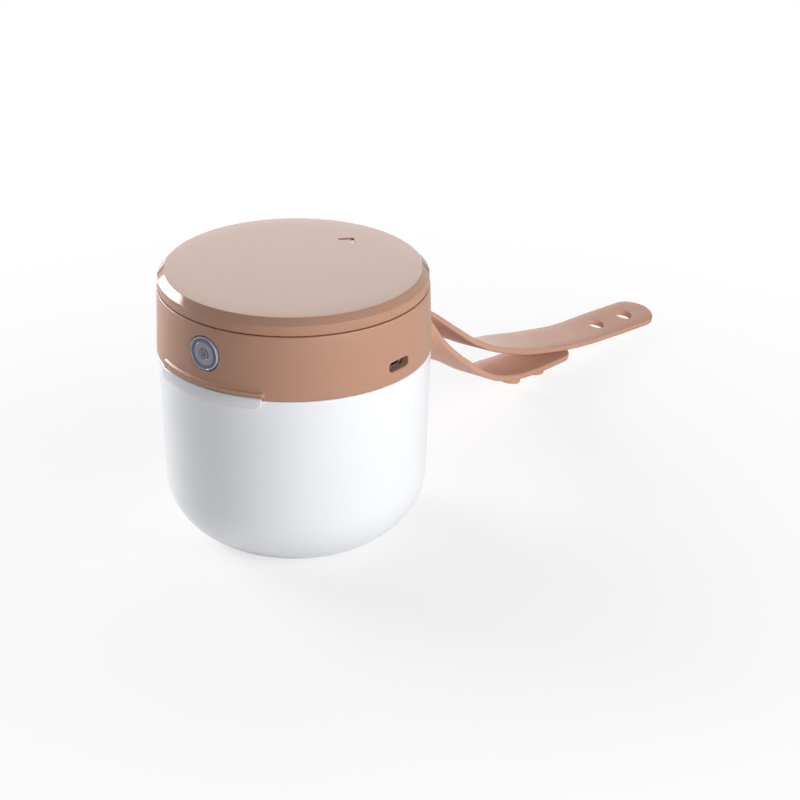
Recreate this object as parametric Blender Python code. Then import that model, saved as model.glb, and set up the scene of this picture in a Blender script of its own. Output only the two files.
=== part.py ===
"""Portable pacifier sterilizer case, as separate sub-parts.

A white cup with a reflective chamber stands on a soft pad. A head flips up from it on a rear hinge and
holds the UV-C lamps, the boards and the battery. A silicone strap is looped round a pin behind the cup.

Metres, +Z up. The origin is the centre of the base, on the table. The front, with the button, is -Y,
the charging port is at +X, and the hinge and the strap are at +Y. Angles are in degrees from +X.
"""

import math

import bmesh
import bpy
from mathutils import Matrix, Vector

MM = 0.001

# Clearances and cutter overruns
GAP = 0.3 * MM
SEAM_GAP = 0.3 * MM
OVERRUN = 1.0 * MM
UNION_DEPTH = 0.8 * MM
SAME_PLACE = 0.01 * MM

# Turned and swept resolution
RING_STEPS = 56
INNER_RING_STEPS = 44
SMALL_RING_STEPS = 28
ROD_STEPS = 16
CORNER_STEPS = 8
INNER_CORNER_STEPS = 6
SHARP_ANGLE = 35.0

# Whole case
POD_RADIUS = 40.0 * MM
SEAM_HEIGHT = 57.3 * MM
FRONT_ANGLE = -90.0
REAR_ANGLE = 90.0

# Cup shell
CUP_WALL = 2.2 * MM
CUP_STEP = 0.15 * MM
CUP_DRAFT_SHARE = 0.0375
CUP_CORNER_REACH = 23.9 * MM
CUP_CORNER_HEIGHT = 21.5 * MM
CUP_CORNER_CUT = 2.3 * MM
CUP_FLOOR_HEIGHT = 3.4 * MM
CUP_RIM_EDGE = 0.4 * MM
CUP_RIM_WALL = 1.4 * MM
LEDGE_DEPTH = 3.55 * MM

# Base pad
PAD_MARGIN = 3.3 * MM
PAD_THICKNESS = 1.3 * MM
PAD_STANDOFF = 0.4 * MM
PAD_EDGE = 0.4 * MM

# Liner
LINER_WALL = 0.8 * MM

# Rim ring and its finger tab
RIM_RING_HEIGHT = 2.0 * MM
RIM_RING_WIDTH = 3.15 * MM
RIM_RING_EDGE = 0.5 * MM
TAB_HALF_ANGLE = 26.5
TAB_WEB = 0.75 * MM
TAB_WALL = 1.45 * MM
TAB_LENGTH = 3.9 * MM
TAB_EDGE = 0.6 * MM
TAB_CORNER = 1.6 * MM
TAB_INNER_OVERLAP = 0.95 * MM
TAB_STEPS = 15

# Soother rack
RACK_CLEARANCE = 1.7 * MM
RACK_THICKNESS = 1.6 * MM
RACK_RIM_WALL = 1.4 * MM
RACK_RIM_HEIGHT = 4.4 * MM
RACK_FOOT_HEIGHT = 4.8 * MM
RACK_FOOT_RADIUS = 1.8 * MM
RACK_FOOT_CIRCLE = 18.0 * MM
RACK_FEET = 4
RACK_SLOTS = 8
RACK_SLOT_TURN = 1.3
RACK_SLOT_WIDTH = 3.6 * MM
RACK_SLOT_START = 9.0 * MM
RACK_SLOT_MARGIN = 4.5 * MM

# Head housing
BAND_HEIGHT = 19.7 * MM
BAND_TAPER = 0.4 * MM
BAND_WALL = 2.0 * MM
BAND_EDGE = 0.25 * MM
SHELF_WIDTH = 1.8 * MM
SHELF_THICKNESS = 1.3 * MM
LIP_HALF_ANGLE = 27.6
LIP_REACH = 1.62 * MM
LIP_TOP = 3.9 * MM
LIP_EDGE_HEIGHT = 0.5 * MM
LIP_RISE = 1.2 * MM
LIP_CURVE_STEPS = 5
LIP_END = 1.4 * MM
LIP_END_REACH = 0.5 * MM
LIP_SINK = 0.12 * MM

# Top cover
COVER_SKIRT = 3.06 * MM
COVER_SETBACK = 0.25 * MM
COVER_CHAMFER = 2.0 * MM
COVER_THICKNESS = 2.0 * MM
COVER_SPIGOT_DEPTH = 2.3 * MM
COVER_SPIGOT_WALL = 2.0 * MM
CHEVRON_HALF = 3.1 * MM
CHEVRON_RISE = 3.1 * MM
CHEVRON_LINE = 0.75 * MM
CHEVRON_DEPTH = 0.35 * MM
CHEVRON_INSET = 11.65 * MM

# Head floor and seal
FLOOR_LIFT = 1.5 * MM
FLOOR_THICKNESS = 1.8 * MM
SEAL_WIDTH = 1.2 * MM
SEAL_INSET = 1.0 * MM
SEAL_GROOVE_DEPTH = 1.2 * MM
SEAL_EDGE = 0.35 * MM

# Ultraviolet lamp group
LAMP_OPENING_RADIUS = 11.0 * MM
WINDOW_RADIUS = 13.0 * MM
WINDOW_THICKNESS = 1.4 * MM
COLLAR_WALL = 1.0 * MM
COLLAR_HEIGHT = 1.8 * MM
REFLECTOR_HEIGHT = 4.4 * MM
REFLECTOR_WALL = 0.9 * MM
REFLECTOR_TOP_RADIUS = 5.8 * MM
REFLECTOR_FLANGE = 0.7 * MM
LAMP_BOARD_RADIUS = 11.0 * MM
LAMP_BOARD_THICKNESS = 1.4 * MM
LAMP_SIZE = 3.5 * MM
LAMP_HEIGHT = 1.5 * MM
LAMP_SPACING = 4.8 * MM

# Screws, posts and bosses
SCREW_INSET = 4.0 * MM
SCREW_SHANK_RADIUS = 0.9 * MM
SCREW_HEAD_RADIUS = 1.8 * MM
SCREW_HEAD_HEIGHT = 1.1 * MM
SCREW_LENGTH = 11.5 * MM
SCREW_SOCKET_RADIUS = 0.7 * MM
SCREW_SOCKET_DEPTH = 0.6 * MM
POST_RADIUS = 2.8 * MM
POST_HEIGHT = 3.2 * MM
BOSS_RADIUS = 2.4 * MM

# Main board and its parts
BOARD_INNER_RADIUS = 14.9 * MM
BOARD_CLEARANCE = 3.0 * MM
BOARD_THICKNESS = 1.2 * MM
CONTROL_CHIP_SIZE = 7.0 * MM
CONTROL_CHIP_INSET = 9.0 * MM
CHARGER_CHIP_LENGTH = 5.0 * MM
CHARGER_CHIP_WIDTH = 4.0 * MM
CHARGER_CHIP_INSET = 8.0 * MM
CHIP_HEIGHT = 1.2 * MM
SENSOR_LENGTH = 3.0 * MM
SENSOR_WIDTH = 1.6 * MM
SENSOR_HEIGHT = 1.1 * MM
SENSOR_SPACING = 2.6 * MM

# Latch magnets
HEAD_MAGNET_LENGTH = 10.0 * MM
HEAD_MAGNET_WIDTH = 2.8 * MM
HEAD_MAGNET_HEIGHT = 1.1 * MM
HEAD_MAGNET_INSET = 2.1 * MM
CUP_MAGNET_LENGTH = 8.0 * MM
CUP_MAGNET_WIDTH = 1.3 * MM
CUP_MAGNET_HEIGHT = 1.2 * MM
CUP_MAGNET_INSET = 1.6 * MM

# Charging port
PORT_HEIGHT = 5.15 * MM
PORT_OFFSET = -1.0 * MM
PORT_SLOT_WIDTH = 8.3 * MM
PORT_SLOT_HEIGHT = 3.0 * MM
PORT_SLOT_CORNER = 1.1 * MM
PORT_SHELL_WIDTH = 7.5 * MM
PORT_SHELL_HEIGHT = 2.5 * MM
PORT_SHELL_LENGTH = 5.6 * MM
PORT_SHELL_WALL = 0.35 * MM
PORT_SHELL_SLANT = 0.7 * MM
PORT_SHELL_SETBACK = 0.8 * MM
PORT_TONGUE_WIDTH = 4.6 * MM
PORT_TONGUE_THICKNESS = 0.6 * MM
PORT_TONGUE_SETBACK = 0.8 * MM
PORT_TONGUE_BASE = 1.0 * MM

# Power button and its switch
BUTTON_HEIGHT = 11.1 * MM
BUTTON_RADIUS = 5.0 * MM
BUTTON_TRAVEL = 0.6 * MM
BUTTON_FLANGE = 0.9 * MM
BUTTON_FLANGE_THICKNESS = 0.8 * MM
BUTTON_SETBACK = 1.1 * MM
BUTTON_SINK = 0.15 * MM
BUTTON_RIM = 0.4 * MM
BUTTON_RIM_HEIGHT = 0.2 * MM
SWITCH_SIZE = 5.4 * MM
SWITCH_DEPTH = 3.6 * MM
SWITCH_SETBACK = 3.8 * MM
PLUNGER_RADIUS = 1.6 * MM
SWITCH_BORE_DEPTH = 1.9 * MM
SWITCH_BOARD_WIDTH = 11.0 * MM
SWITCH_BOARD_HEIGHT = 8.0 * MM
SWITCH_BOARD_THICKNESS = 1.0 * MM
STATUS_LED_WIDTH = 1.6 * MM
STATUS_LED_HEIGHT = 1.0 * MM
STATUS_LED_DEPTH = 0.8 * MM
STATUS_LED_PLACE = 4.4 * MM
STATUS_LED_LIFT = 0.5 * MM

# Battery group
BATTERY_END_MARGIN = 2.9 * MM
BATTERY_SIDE_MARGIN = 4.9 * MM
BATTERY_HEIGHT = 6.0 * MM
BATTERY_EDGE = 1.0 * MM
CARRIER_WALL = 1.3 * MM
CARRIER_FLOOR = 1.2 * MM
CARRIER_RIM = 1.7 * MM
CARRIER_LEG_RADIUS = 1.6 * MM
CARRIER_LEG_INSET = 3.0 * MM
FOAM_MARGIN = 5.0 * MM
PLUG_LENGTH = 5.0 * MM
PLUG_WIDTH = 6.0 * MM
PLUG_HEIGHT = 3.0 * MM
PLUG_INSET = 7.5 * MM
LEAD_RADIUS = 0.55 * MM
LEAD_SPACING = 2.6 * MM
LEAD_POINTS = 12

# Hinge
HINGE_STANDOFF = 3.2 * MM
HINGE_LIFT = 1.0 * MM
KNUCKLE_RADIUS = 2.3 * MM
HEAD_KNUCKLE_WIDTH = 12.0 * MM
CUP_KNUCKLE_WIDTH = 6.0 * MM
HINGE_PIN_RADIUS = 1.0 * MM
HEAD_WEB_HALF_ANGLE = 7.8
HEAD_WEB_HEIGHT = 2.8 * MM
CUP_WEB_START_ANGLE = 9.1
CUP_WEB_END_ANGLE = 17.6
CUP_WEB_HEIGHT = 3.5 * MM
WEB_STEPS = 4

# Strap lug
LUG_STANDOFF = 4.2 * MM
LUG_RADIUS = 3.0 * MM
EAR_THICKNESS = 2.0 * MM
STRAP_PIN_RADIUS = 1.5 * MM

# Strap
STRAP_WIDTH = 14.2 * MM
STRAP_THICKNESS = 2.0 * MM
STRAP_EDGE = 0.55 * MM
STRAP_DROP = 11.2 * MM
STRAP_LOOP_STEPS = 8
STRAP_STEPS = 22
STRAP_TIP_STEPS = 5
STRAP_TIP_END_SHARE = 0.12
LONG_END_REACH = 137.3 * MM
LONG_END_DRIFT = 5.1 * MM
LONG_END_HEIGHT = 4.3 * MM
SHORT_END_REACH = 92.6 * MM
SHORT_END_DRIFT = 10.2 * MM
SHORT_END_HEIGHT = 5.4 * MM
HOLE_RADIUS = 2.95 * MM
HOLE_SPACING = 14.5 * MM
HOLE_FROM_END = 4.6 * MM
STUD_SPACING = 14.5 * MM
STUD_FROM_END = 8.0 * MM
STUD_NECK_RADIUS = 2.6 * MM
STUD_NECK_HEIGHT = 1.9 * MM
STUD_HEAD_RADIUS = 4.2 * MM
STUD_HEAD_HEIGHT = 1.6 * MM
STUD_EDGE = 0.5 * MM

# Routes of the two strap ends from where they leave the pin: shares of the reach along +Y, of the drift
# towards -X and of the drop to the end, and the twist in degrees
LONG_ROUTE_SHARES = (
    (0.030, 0.00, 0.000, 0.0),
    (0.125, 0.45, 0.105, 41.0),
    (0.250, 0.49, 0.320, 77.0),
    (0.375, 0.31, 0.555, 89.0),
    (0.500, 0.94, 0.720, 98.0),
    (0.625, 1.12, 0.845, 98.0),
    (0.750, 0.84, 0.923, 98.0),
    (0.875, 0.69, 0.967, 101.0),
    (1.000, 0.45, 1.000, 101.0),
)
SHORT_ROUTE_SHARES = (
    (0.045, 0.000, 0.000, 0.0),
    (0.167, 0.255, 0.225, 57.0),
    (0.333, 0.265, 0.490, 86.0),
    (0.500, 0.360, 0.735, 93.0),
    (0.667, 0.715, 0.875, 99.0),
    (0.833, 0.930, 0.960, 99.0),
    (1.000, 1.000, 1.000, 98.0),
)

# Heights and radii worked out from the sizes above
CUP_TOP = SEAM_HEIGHT - SEAM_GAP / 2
BAND_BOTTOM = SEAM_HEIGHT + SEAM_GAP / 2
COVER_SEAM = SEAM_HEIGHT + BAND_HEIGHT
BAND_TOP = COVER_SEAM - SEAM_GAP / 2
COVER_BOTTOM = COVER_SEAM + SEAM_GAP / 2
COVER_SHOULDER = COVER_SEAM + COVER_SKIRT
COVER_TOP = COVER_SHOULDER + COVER_CHAMFER
COVER_UNDERSIDE = COVER_TOP - COVER_THICKNESS
CUP_RADIUS = POD_RADIUS - CUP_STEP
COVER_RADIUS = POD_RADIUS - BAND_TAPER - COVER_SETBACK
BAND_INNER_RADIUS = POD_RADIUS - BAND_WALL
LEDGE_HEIGHT = CUP_TOP - LEDGE_DEPTH
RIM_INNER_RADIUS = CUP_RADIUS - CUP_RIM_WALL
FLANGE_RADIUS = RIM_INNER_RADIUS - GAP
FLANGE_BOTTOM = LEDGE_HEIGHT + GAP
FLANGE_TOP = FLANGE_BOTTOM + LINER_WALL
RING_BOTTOM = FLANGE_TOP + GAP
RING_TOP = RING_BOTTOM + RIM_RING_HEIGHT
RING_INNER_RADIUS = FLANGE_RADIUS - RIM_RING_WIDTH
LINER_BOTTOM = CUP_FLOOR_HEIGHT + GAP
LINER_TOP = LINER_BOTTOM + LINER_WALL
RACK_BOTTOM = LINER_TOP + GAP + RACK_FOOT_HEIGHT
RACK_TOP = RACK_BOTTOM + RACK_THICKNESS
FLOOR_BOTTOM = SEAM_HEIGHT + FLOOR_LIFT
FLOOR_TOP = FLOOR_BOTTOM + FLOOR_THICKNESS
FLOOR_RADIUS = BAND_INNER_RADIUS - GAP
GROOVE_INNER_RADIUS = FLOOR_RADIUS - SEAL_INSET - SEAL_WIDTH - GAP
GROOVE_OUTER_RADIUS = GROOVE_INNER_RADIUS + SEAL_WIDTH + 2 * GAP
SHELF_BOTTOM = FLOOR_TOP + GAP
SHELF_TOP = SHELF_BOTTOM + SHELF_THICKNESS
WINDOW_BOTTOM = FLOOR_TOP + GAP
WINDOW_TOP = WINDOW_BOTTOM + WINDOW_THICKNESS
REFLECTOR_BOTTOM = WINDOW_TOP + GAP
REFLECTOR_TOP = REFLECTOR_BOTTOM + REFLECTOR_HEIGHT
LAMP_BOARD_BOTTOM = REFLECTOR_TOP + GAP
LAMP_BOARD_TOP = LAMP_BOARD_BOTTOM + LAMP_BOARD_THICKNESS
POST_TOP = FLOOR_TOP + POST_HEIGHT
BOARD_BOTTOM = POST_TOP + GAP
BOARD_TOP = BOARD_BOTTOM + BOARD_THICKNESS
BOARD_SEAT = BOARD_TOP + GAP
CARRIER_BOTTOM = LAMP_BOARD_TOP + GAP
BATTERY_BOTTOM = CARRIER_BOTTOM + CARRIER_FLOOR + GAP
BATTERY_TOP = BATTERY_BOTTOM + BATTERY_HEIGHT
HINGE_HEIGHT = SEAM_HEIGHT + HINGE_LIFT
BUTTON_CENTRE_HEIGHT = SEAM_HEIGHT + BUTTON_HEIGHT
PORT_CENTRE_HEIGHT = SEAM_HEIGHT + PORT_HEIGHT
STRAP_CENTRE_HEIGHT = SEAM_HEIGHT - STRAP_DROP
HINGE_REACH = POD_RADIUS + HINGE_STANDOFF
LUG_REACH = POD_RADIUS + LUG_STANDOFF
CHEVRON_PLACE = COVER_RADIUS - CHEVRON_INSET
CUP_MAGNET_PLACE = FLANGE_RADIUS - CUP_MAGNET_INSET
HEAD_MAGNET_PLACE = BAND_INNER_RADIUS - SHELF_WIDTH - HEAD_MAGNET_INSET
SENSOR_PLACE = HEAD_MAGNET_PLACE - SENSOR_SPACING
BOARD_OUTER_RADIUS = BAND_INNER_RADIUS - BOARD_CLEARANCE
CONTROL_CHIP_PLACE = BOARD_OUTER_RADIUS - CONTROL_CHIP_INSET
CHARGER_CHIP_PLACE = BOARD_OUTER_RADIUS - CHARGER_CHIP_INSET
PLUG_PLACE = BOARD_OUTER_RADIUS - PLUG_INSET
SCREW_PLACE = (BOARD_OUTER_RADIUS - SCREW_INSET) / math.sqrt(2)
BATTERY_LENGTH = 2 * (SCREW_PLACE - BATTERY_END_MARGIN)
BATTERY_WIDTH = 2 * (SCREW_PLACE - BATTERY_SIDE_MARGIN)
FOAM_LENGTH = BATTERY_LENGTH - 2 * FOAM_MARGIN
FOAM_WIDTH = BATTERY_WIDTH - 2 * FOAM_MARGIN
CARRIER_LEG_X = BATTERY_LENGTH / 2 - CARRIER_LEG_INSET
CARRIER_LEG_Y = BATTERY_WIDTH / 2 - CARRIER_LEG_INSET
PORT_SHELL_FRONT = BAND_INNER_RADIUS - PORT_SHELL_SETBACK
BUTTON_SEAT = BAND_INNER_RADIUS - BUTTON_SETBACK
BUTTON_FACE = POD_RADIUS - BUTTON_SINK
SWITCH_FRONT = BUTTON_SEAT - SWITCH_SETBACK


def remove_old_objects():
    """Empties the file it runs in."""
    for item in list(bpy.data.objects):
        bpy.data.objects.remove(item, do_unlink=True)


def material(name, colour, roughness, metallic=0.0, transmission=0.0):
    """One Principled material for one sub-part."""
    finish = bpy.data.materials.new(name)
    finish.use_nodes = True
    shader = finish.node_tree.nodes["Principled BSDF"]
    shader.inputs["Base Color"].default_value = (*colour, 1.0)
    shader.inputs["Roughness"].default_value = roughness
    shader.inputs["Metallic"].default_value = metallic
    shader.inputs["Transmission Weight"].default_value = transmission
    return finish


def solid(name, shape, finish=None):
    """Makes an object of a bmesh. A shape with no finish is a cutter or a piece to be joined."""
    shape.normal_update()
    bmesh.ops.recalc_face_normals(shape, faces=shape.faces)
    mesh = bpy.data.meshes.new(name)
    shape.to_mesh(mesh)
    shape.free()
    mesh.shade_smooth()
    mesh.set_sharp_from_angle(angle=math.radians(SHARP_ANGLE))
    item = bpy.data.objects.new(name, mesh)
    bpy.context.scene.collection.objects.link(item)
    if finish is None:
        item.hide_render = True
        item.display_type = "WIRE"
    else:
        mesh.materials.append(material(name, *finish))
    return item


def combine(target, tool, operation):
    """Cuts the tool out of the target, or joins it on, with a Boolean modifier."""
    tool.parent = target
    step = target.modifiers.new(tool.name, "BOOLEAN")
    step.operation = operation
    step.solver = "EXACT"
    step.object = tool


def cut(target, shape):
    combine(target, solid(f"{target.name}_cutter", shape), "DIFFERENCE")


def join(target, shape):
    combine(target, solid(f"{target.name}_addition", shape), "UNION")


def pivot(name, place):
    """An empty on a joint's axis, which carries the pieces that move."""
    frame = bpy.data.objects.new(name, None)
    frame.empty_display_size = POD_RADIUS / 4
    frame.location = place
    bpy.context.scene.collection.objects.link(frame)
    return frame


def carry(frame, pieces):
    """Hangs pieces on a pivot and leaves them where they are."""
    for piece in pieces:
        piece.parent = frame
        piece.matrix_parent_inverse = Matrix.Translation(-Vector(frame.location))


def round_point(radius, angle, height):
    turn = math.radians(angle)
    return Vector((radius * math.cos(turn), radius * math.sin(turn), height))


def loft(rings):
    """A solid through rings of points, closed at both ends."""
    shape = bmesh.new()
    rows = [[shape.verts.new(point) for point in ring] for ring in rings]
    for lower, upper in zip(rows, rows[1:]):
        for here in range(len(lower)):
            after = (here + 1) % len(lower)
            shape.faces.new((lower[here], lower[after], upper[after], upper[here]))
    shape.faces.new(rows[0])
    shape.faces.new(rows[-1])
    return shape


def turned(outline, steps=RING_STEPS):
    """A solid of revolution about Z. The (radius, height) points go round its section once.

    Points on the axis only mark flat ends, so the ends are left as single faces.
    """
    shape = bmesh.new()
    rings = []
    for radius, height in outline:
        count = steps if radius > 0 else 1
        rings.append([shape.verts.new(round_point(radius, 360 * k / steps, height)) for k in range(count)])
    for first, second in zip(rings, rings[1:] + rings[:1]):
        if len(first) == len(second) == 1:
            continue
        for here in range(steps):
            after = (here + 1) % steps
            corners = (
                first[here % len(first)],
                first[after % len(first)],
                second[after % len(second)],
                second[here % len(second)],
            )
            shape.faces.new(tuple(dict.fromkeys(corners)))
    centres = [ring[0] for ring in rings if len(ring) == 1]
    bmesh.ops.dissolve_verts(shape, verts=centres)
    return shape


def swept(outline_at, angles):
    """A solid swept about Z. outline_at gives the (radius, height) points at an angle."""
    rings = []
    for angle in angles:
        rings.append([round_point(radius, angle, height) for radius, height in outline_at(angle)])
    return loft(rings)


def block(low, high, edge=0.0):
    """A box between two corners, with edges rounded off where edge is given."""
    shape = bmesh.new()
    size = Vector(high) - Vector(low)
    place = Matrix.Translation((Vector(high) + Vector(low)) / 2)
    bmesh.ops.create_cube(shape, size=1.0, matrix=place @ Matrix.Diagonal((*size, 1.0)))
    if edge > 0:
        bmesh.ops.bevel(shape, geom=list(shape.edges), offset=edge, segments=2, profile=0.5, affect="EDGES")
    return shape


def centred_block(centre, size, edge=0.0):
    half = Vector(size) / 2
    return block(Vector(centre) - half, Vector(centre) + half, edge)


def rod(start, end, radius, steps=ROD_STEPS):
    """A round bar between two points."""
    start = Vector(start)
    axis = Vector(end) - start
    turn = axis.to_track_quat("Z", "Y").to_matrix().to_4x4()
    shape = turned([(0, 0), (radius, 0), (radius, axis.length), (0, axis.length)], steps)
    shape.transform(Matrix.Translation(start) @ turn)
    return shape


def prism(points, bottom, top):
    """A flat outline in X and Y, raised from bottom to top."""
    return loft([[Vector((x, y, height)) for x, y in points] for height in (bottom, top)])


def rounded_rectangle(width, height, corner, steps=3):
    """Points of a rectangle with round corners, about zero."""
    points = []
    for index, (side, rise) in enumerate(((1, 1), (-1, 1), (-1, -1), (1, -1))):
        centre = Vector((side * (width / 2 - corner), rise * (height / 2 - corner)))
        for step in range(steps + 1):
            turn = math.radians(90 * index + 90 * step / steps)
            point = centre + corner * Vector((math.cos(turn), math.sin(turn)))
            if all((point - placed).length > SAME_PLACE for placed in points):
                points.append(point)
    return points


def spread(start, end, steps):
    """Evenly spaced values from start to end."""
    return [start + (end - start) * step / steps for step in range(steps + 1)]


def cup_wall_radius(height):
    return CUP_RADIUS - CUP_DRAFT_SHARE * (CUP_TOP - height)


CORNER_TOP = PAD_STANDOFF + CUP_CORNER_HEIGHT - CUP_CORNER_CUT
CORNER_CENTRE_RADIUS = cup_wall_radius(CORNER_TOP) - CUP_CORNER_REACH


def corner_points(inset, bottom, steps=CORNER_STEPS):
    """The cup's rounded corner, inset from the outer face, from the wall down to a flat bottom."""
    reach = CUP_CORNER_REACH - inset
    depth = CUP_CORNER_HEIGHT - inset
    last = math.asin((CORNER_TOP - bottom) / depth)
    points = []
    for turn in spread(0, last, steps):
        points.append((CORNER_CENTRE_RADIUS + reach * math.cos(turn), CORNER_TOP - depth * math.sin(turn)))
    return points


PAD_RADIUS = corner_points(0, PAD_STANDOFF)[-1][0] - PAD_MARGIN
RACK_RADIUS = corner_points(CUP_WALL + GAP + LINER_WALL, RACK_BOTTOM)[-1][0] - RACK_CLEARANCE
RACK_SLOT_END = RACK_RADIUS - RACK_SLOT_MARGIN


def strap_gap_bottom():
    return STRAP_CENTRE_HEIGHT - STRAP_WIDTH / 2 - GAP


def strap_gap_top():
    return STRAP_CENTRE_HEIGHT + STRAP_WIDTH / 2 + GAP


def knuckle(start, end):
    """A hinge knuckle along X, without its bore."""
    return rod((start, HINGE_REACH, HINGE_HEIGHT), (end, HINGE_REACH, HINGE_HEIGHT), KNUCKLE_RADIUS)


def hinge_bore():
    reach = HEAD_KNUCKLE_WIDTH / 2 + CUP_KNUCKLE_WIDTH + OVERRUN
    start = (-reach, HINGE_REACH, HINGE_HEIGHT)
    return rod(start, (reach, HINGE_REACH, HINGE_HEIGHT), HINGE_PIN_RADIUS + GAP)


def web(inner, outer, bottom, top, start, end, steps=WEB_STEPS):
    """A block that follows the round wall between two angles."""
    outline = ((inner, bottom), (outer, bottom), (outer, top), (inner, top))
    return swept(lambda angle: outline, spread(start, end, steps))


def cup_web(side):
    """Joins one cup knuckle to the wall."""
    ends = (REAR_ANGLE - side * CUP_WEB_START_ANGLE, REAR_ANGLE - side * CUP_WEB_END_ANGLE)
    inner = CUP_RADIUS - UNION_DEPTH
    return web(inner, HINGE_REACH + UNION_DEPTH, CUP_TOP - CUP_WEB_HEIGHT, CUP_TOP, min(ends), max(ends))


def lug_ear(bottom):
    """One of the two ears that hold the strap pin."""
    inner = CUP_RADIUS - UNION_DEPTH - CUP_STEP
    return block((-LUG_RADIUS, inner, bottom), (LUG_RADIUS, LUG_REACH, bottom + EAR_THICKNESS))


def make_cup_shell():
    section = [
        (CUP_RADIUS - CUP_RIM_EDGE, CUP_TOP),
        (CUP_RADIUS, CUP_TOP - CUP_RIM_EDGE),
        *corner_points(0, PAD_STANDOFF),
        (PAD_RADIUS + GAP, PAD_STANDOFF),
        (PAD_RADIUS + GAP, PAD_THICKNESS + GAP),
        (0, PAD_THICKNESS + GAP),
        (0, CUP_FLOOR_HEIGHT),
        *reversed(corner_points(CUP_WALL, CUP_FLOOR_HEIGHT, INNER_CORNER_STEPS)),
        (cup_wall_radius(LEDGE_HEIGHT) - CUP_WALL, LEDGE_HEIGHT),
        (RIM_INNER_RADIUS, LEDGE_HEIGHT),
        (RIM_INNER_RADIUS, CUP_TOP),
    ]
    shell = solid("cup_shell", turned(section), ((0.86, 0.87, 0.88), 0.28))
    for side in (-1, 1):
        near = side * (HEAD_KNUCKLE_WIDTH / 2 + GAP)
        far = near + side * CUP_KNUCKLE_WIDTH
        join(shell, cup_web(side))
        join(shell, knuckle(near, far))
    for bottom in (strap_gap_bottom() - EAR_THICKNESS, strap_gap_top()):
        join(shell, lug_ear(bottom))
        join(shell, rod((0, LUG_REACH, bottom), (0, LUG_REACH, bottom + EAR_THICKNESS), LUG_RADIUS))
    cut(shell, hinge_bore())
    cut(shell, rod((0, LUG_REACH, 0), (0, LUG_REACH, SEAM_HEIGHT), STRAP_PIN_RADIUS + GAP))
    return shell


def make_base_pad():
    section = [
        (0, 0),
        (PAD_RADIUS - PAD_EDGE, 0),
        (PAD_RADIUS, PAD_EDGE),
        (PAD_RADIUS, PAD_THICKNESS),
        (0, PAD_THICKNESS),
    ]
    return solid("base_pad", turned(section, INNER_RING_STEPS), ((0.55, 0.56, 0.58), 0.8))


def make_inner_liner():
    outer_inset = CUP_WALL + GAP
    inner_inset = outer_inset + LINER_WALL
    wall_radius = cup_wall_radius(FLANGE_BOTTOM)
    section = [
        (0, LINER_BOTTOM),
        *reversed(corner_points(outer_inset, LINER_BOTTOM, INNER_CORNER_STEPS)),
        (wall_radius - outer_inset, FLANGE_BOTTOM),
        (FLANGE_RADIUS, FLANGE_BOTTOM),
        (FLANGE_RADIUS, FLANGE_TOP),
        (wall_radius - inner_inset, FLANGE_TOP),
        *corner_points(inner_inset, LINER_TOP, INNER_CORNER_STEPS),
        (0, LINER_TOP),
    ]
    return solid("inner_liner", turned(section, INNER_RING_STEPS), ((0.82, 0.83, 0.85), 0.15, 1.0))


def tab_section(angle):
    """The finger tab's section. Its lower edge rises round a corner near each end."""
    side_gap = math.radians(TAB_HALF_ANGLE - abs(angle - FRONT_ANGLE)) * CUP_RADIUS
    inside = max(TAB_CORNER - side_gap, 0)
    rise = TAB_CORNER - math.sqrt(max(TAB_CORNER**2 - inside**2, 0))
    top = SEAM_HEIGHT + LIP_RISE - GAP
    web_bottom = top - TAB_WEB
    inner = CUP_RADIUS + GAP
    outer = inner + TAB_WALL
    bottom = top - TAB_LENGTH + rise
    root = FLANGE_RADIUS - GAP / 2
    return (
        (root - TAB_INNER_OVERLAP, RING_TOP - CUP_RIM_EDGE),
        (root - TAB_INNER_OVERLAP, top),
        (outer - TAB_EDGE, top),
        (outer, top - TAB_EDGE),
        (outer, bottom + TAB_EDGE),
        (outer - TAB_EDGE, bottom),
        (inner, bottom),
        (inner, web_bottom),
        (root, web_bottom),
        (root, RING_TOP - CUP_RIM_EDGE),
    )


def tab_angles():
    """Even steps along the tab, with closer ones round its two corners."""
    corner = math.degrees(TAB_CORNER / CUP_RADIUS)
    first = FRONT_ANGLE - TAB_HALF_ANGLE
    last = FRONT_ANGLE + TAB_HALF_ANGLE
    rounds = [corner * (1 - math.cos(math.radians(90 * k / 4))) for k in range(4)]
    middle = spread(first + corner, last - corner, TAB_STEPS)
    return [first + part for part in rounds] + middle + [last - part for part in reversed(rounds)]


def make_rim_ring():
    section = [
        (RING_INNER_RADIUS, RING_BOTTOM),
        (FLANGE_RADIUS, RING_BOTTOM),
        (FLANGE_RADIUS, RING_TOP),
        (RING_INNER_RADIUS + RIM_RING_EDGE, RING_TOP),
        (RING_INNER_RADIUS, RING_TOP - RIM_RING_EDGE),
    ]
    ring = solid("rim_ring", turned(section), ((0.80, 0.84, 0.88), 0.12, 0.0, 0.7))
    join(ring, swept(tab_section, tab_angles()))
    half = Vector((CUP_MAGNET_LENGTH / 2 + GAP, CUP_MAGNET_WIDTH / 2 + GAP, 0))
    low = Vector((0, -CUP_MAGNET_PLACE, RING_BOTTOM - OVERRUN)) - half
    high = Vector((0, -CUP_MAGNET_PLACE, RING_BOTTOM + CUP_MAGNET_HEIGHT + GAP)) + half
    cut(ring, block(low, high))
    return ring


def make_cup_magnet():
    centre = (0, -CUP_MAGNET_PLACE, RING_BOTTOM + CUP_MAGNET_HEIGHT / 2)
    size = (CUP_MAGNET_LENGTH, CUP_MAGNET_WIDTH, CUP_MAGNET_HEIGHT)
    return solid("cup_magnet", centred_block(centre, size), ((0.62, 0.62, 0.64), 0.3, 1.0))


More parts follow.
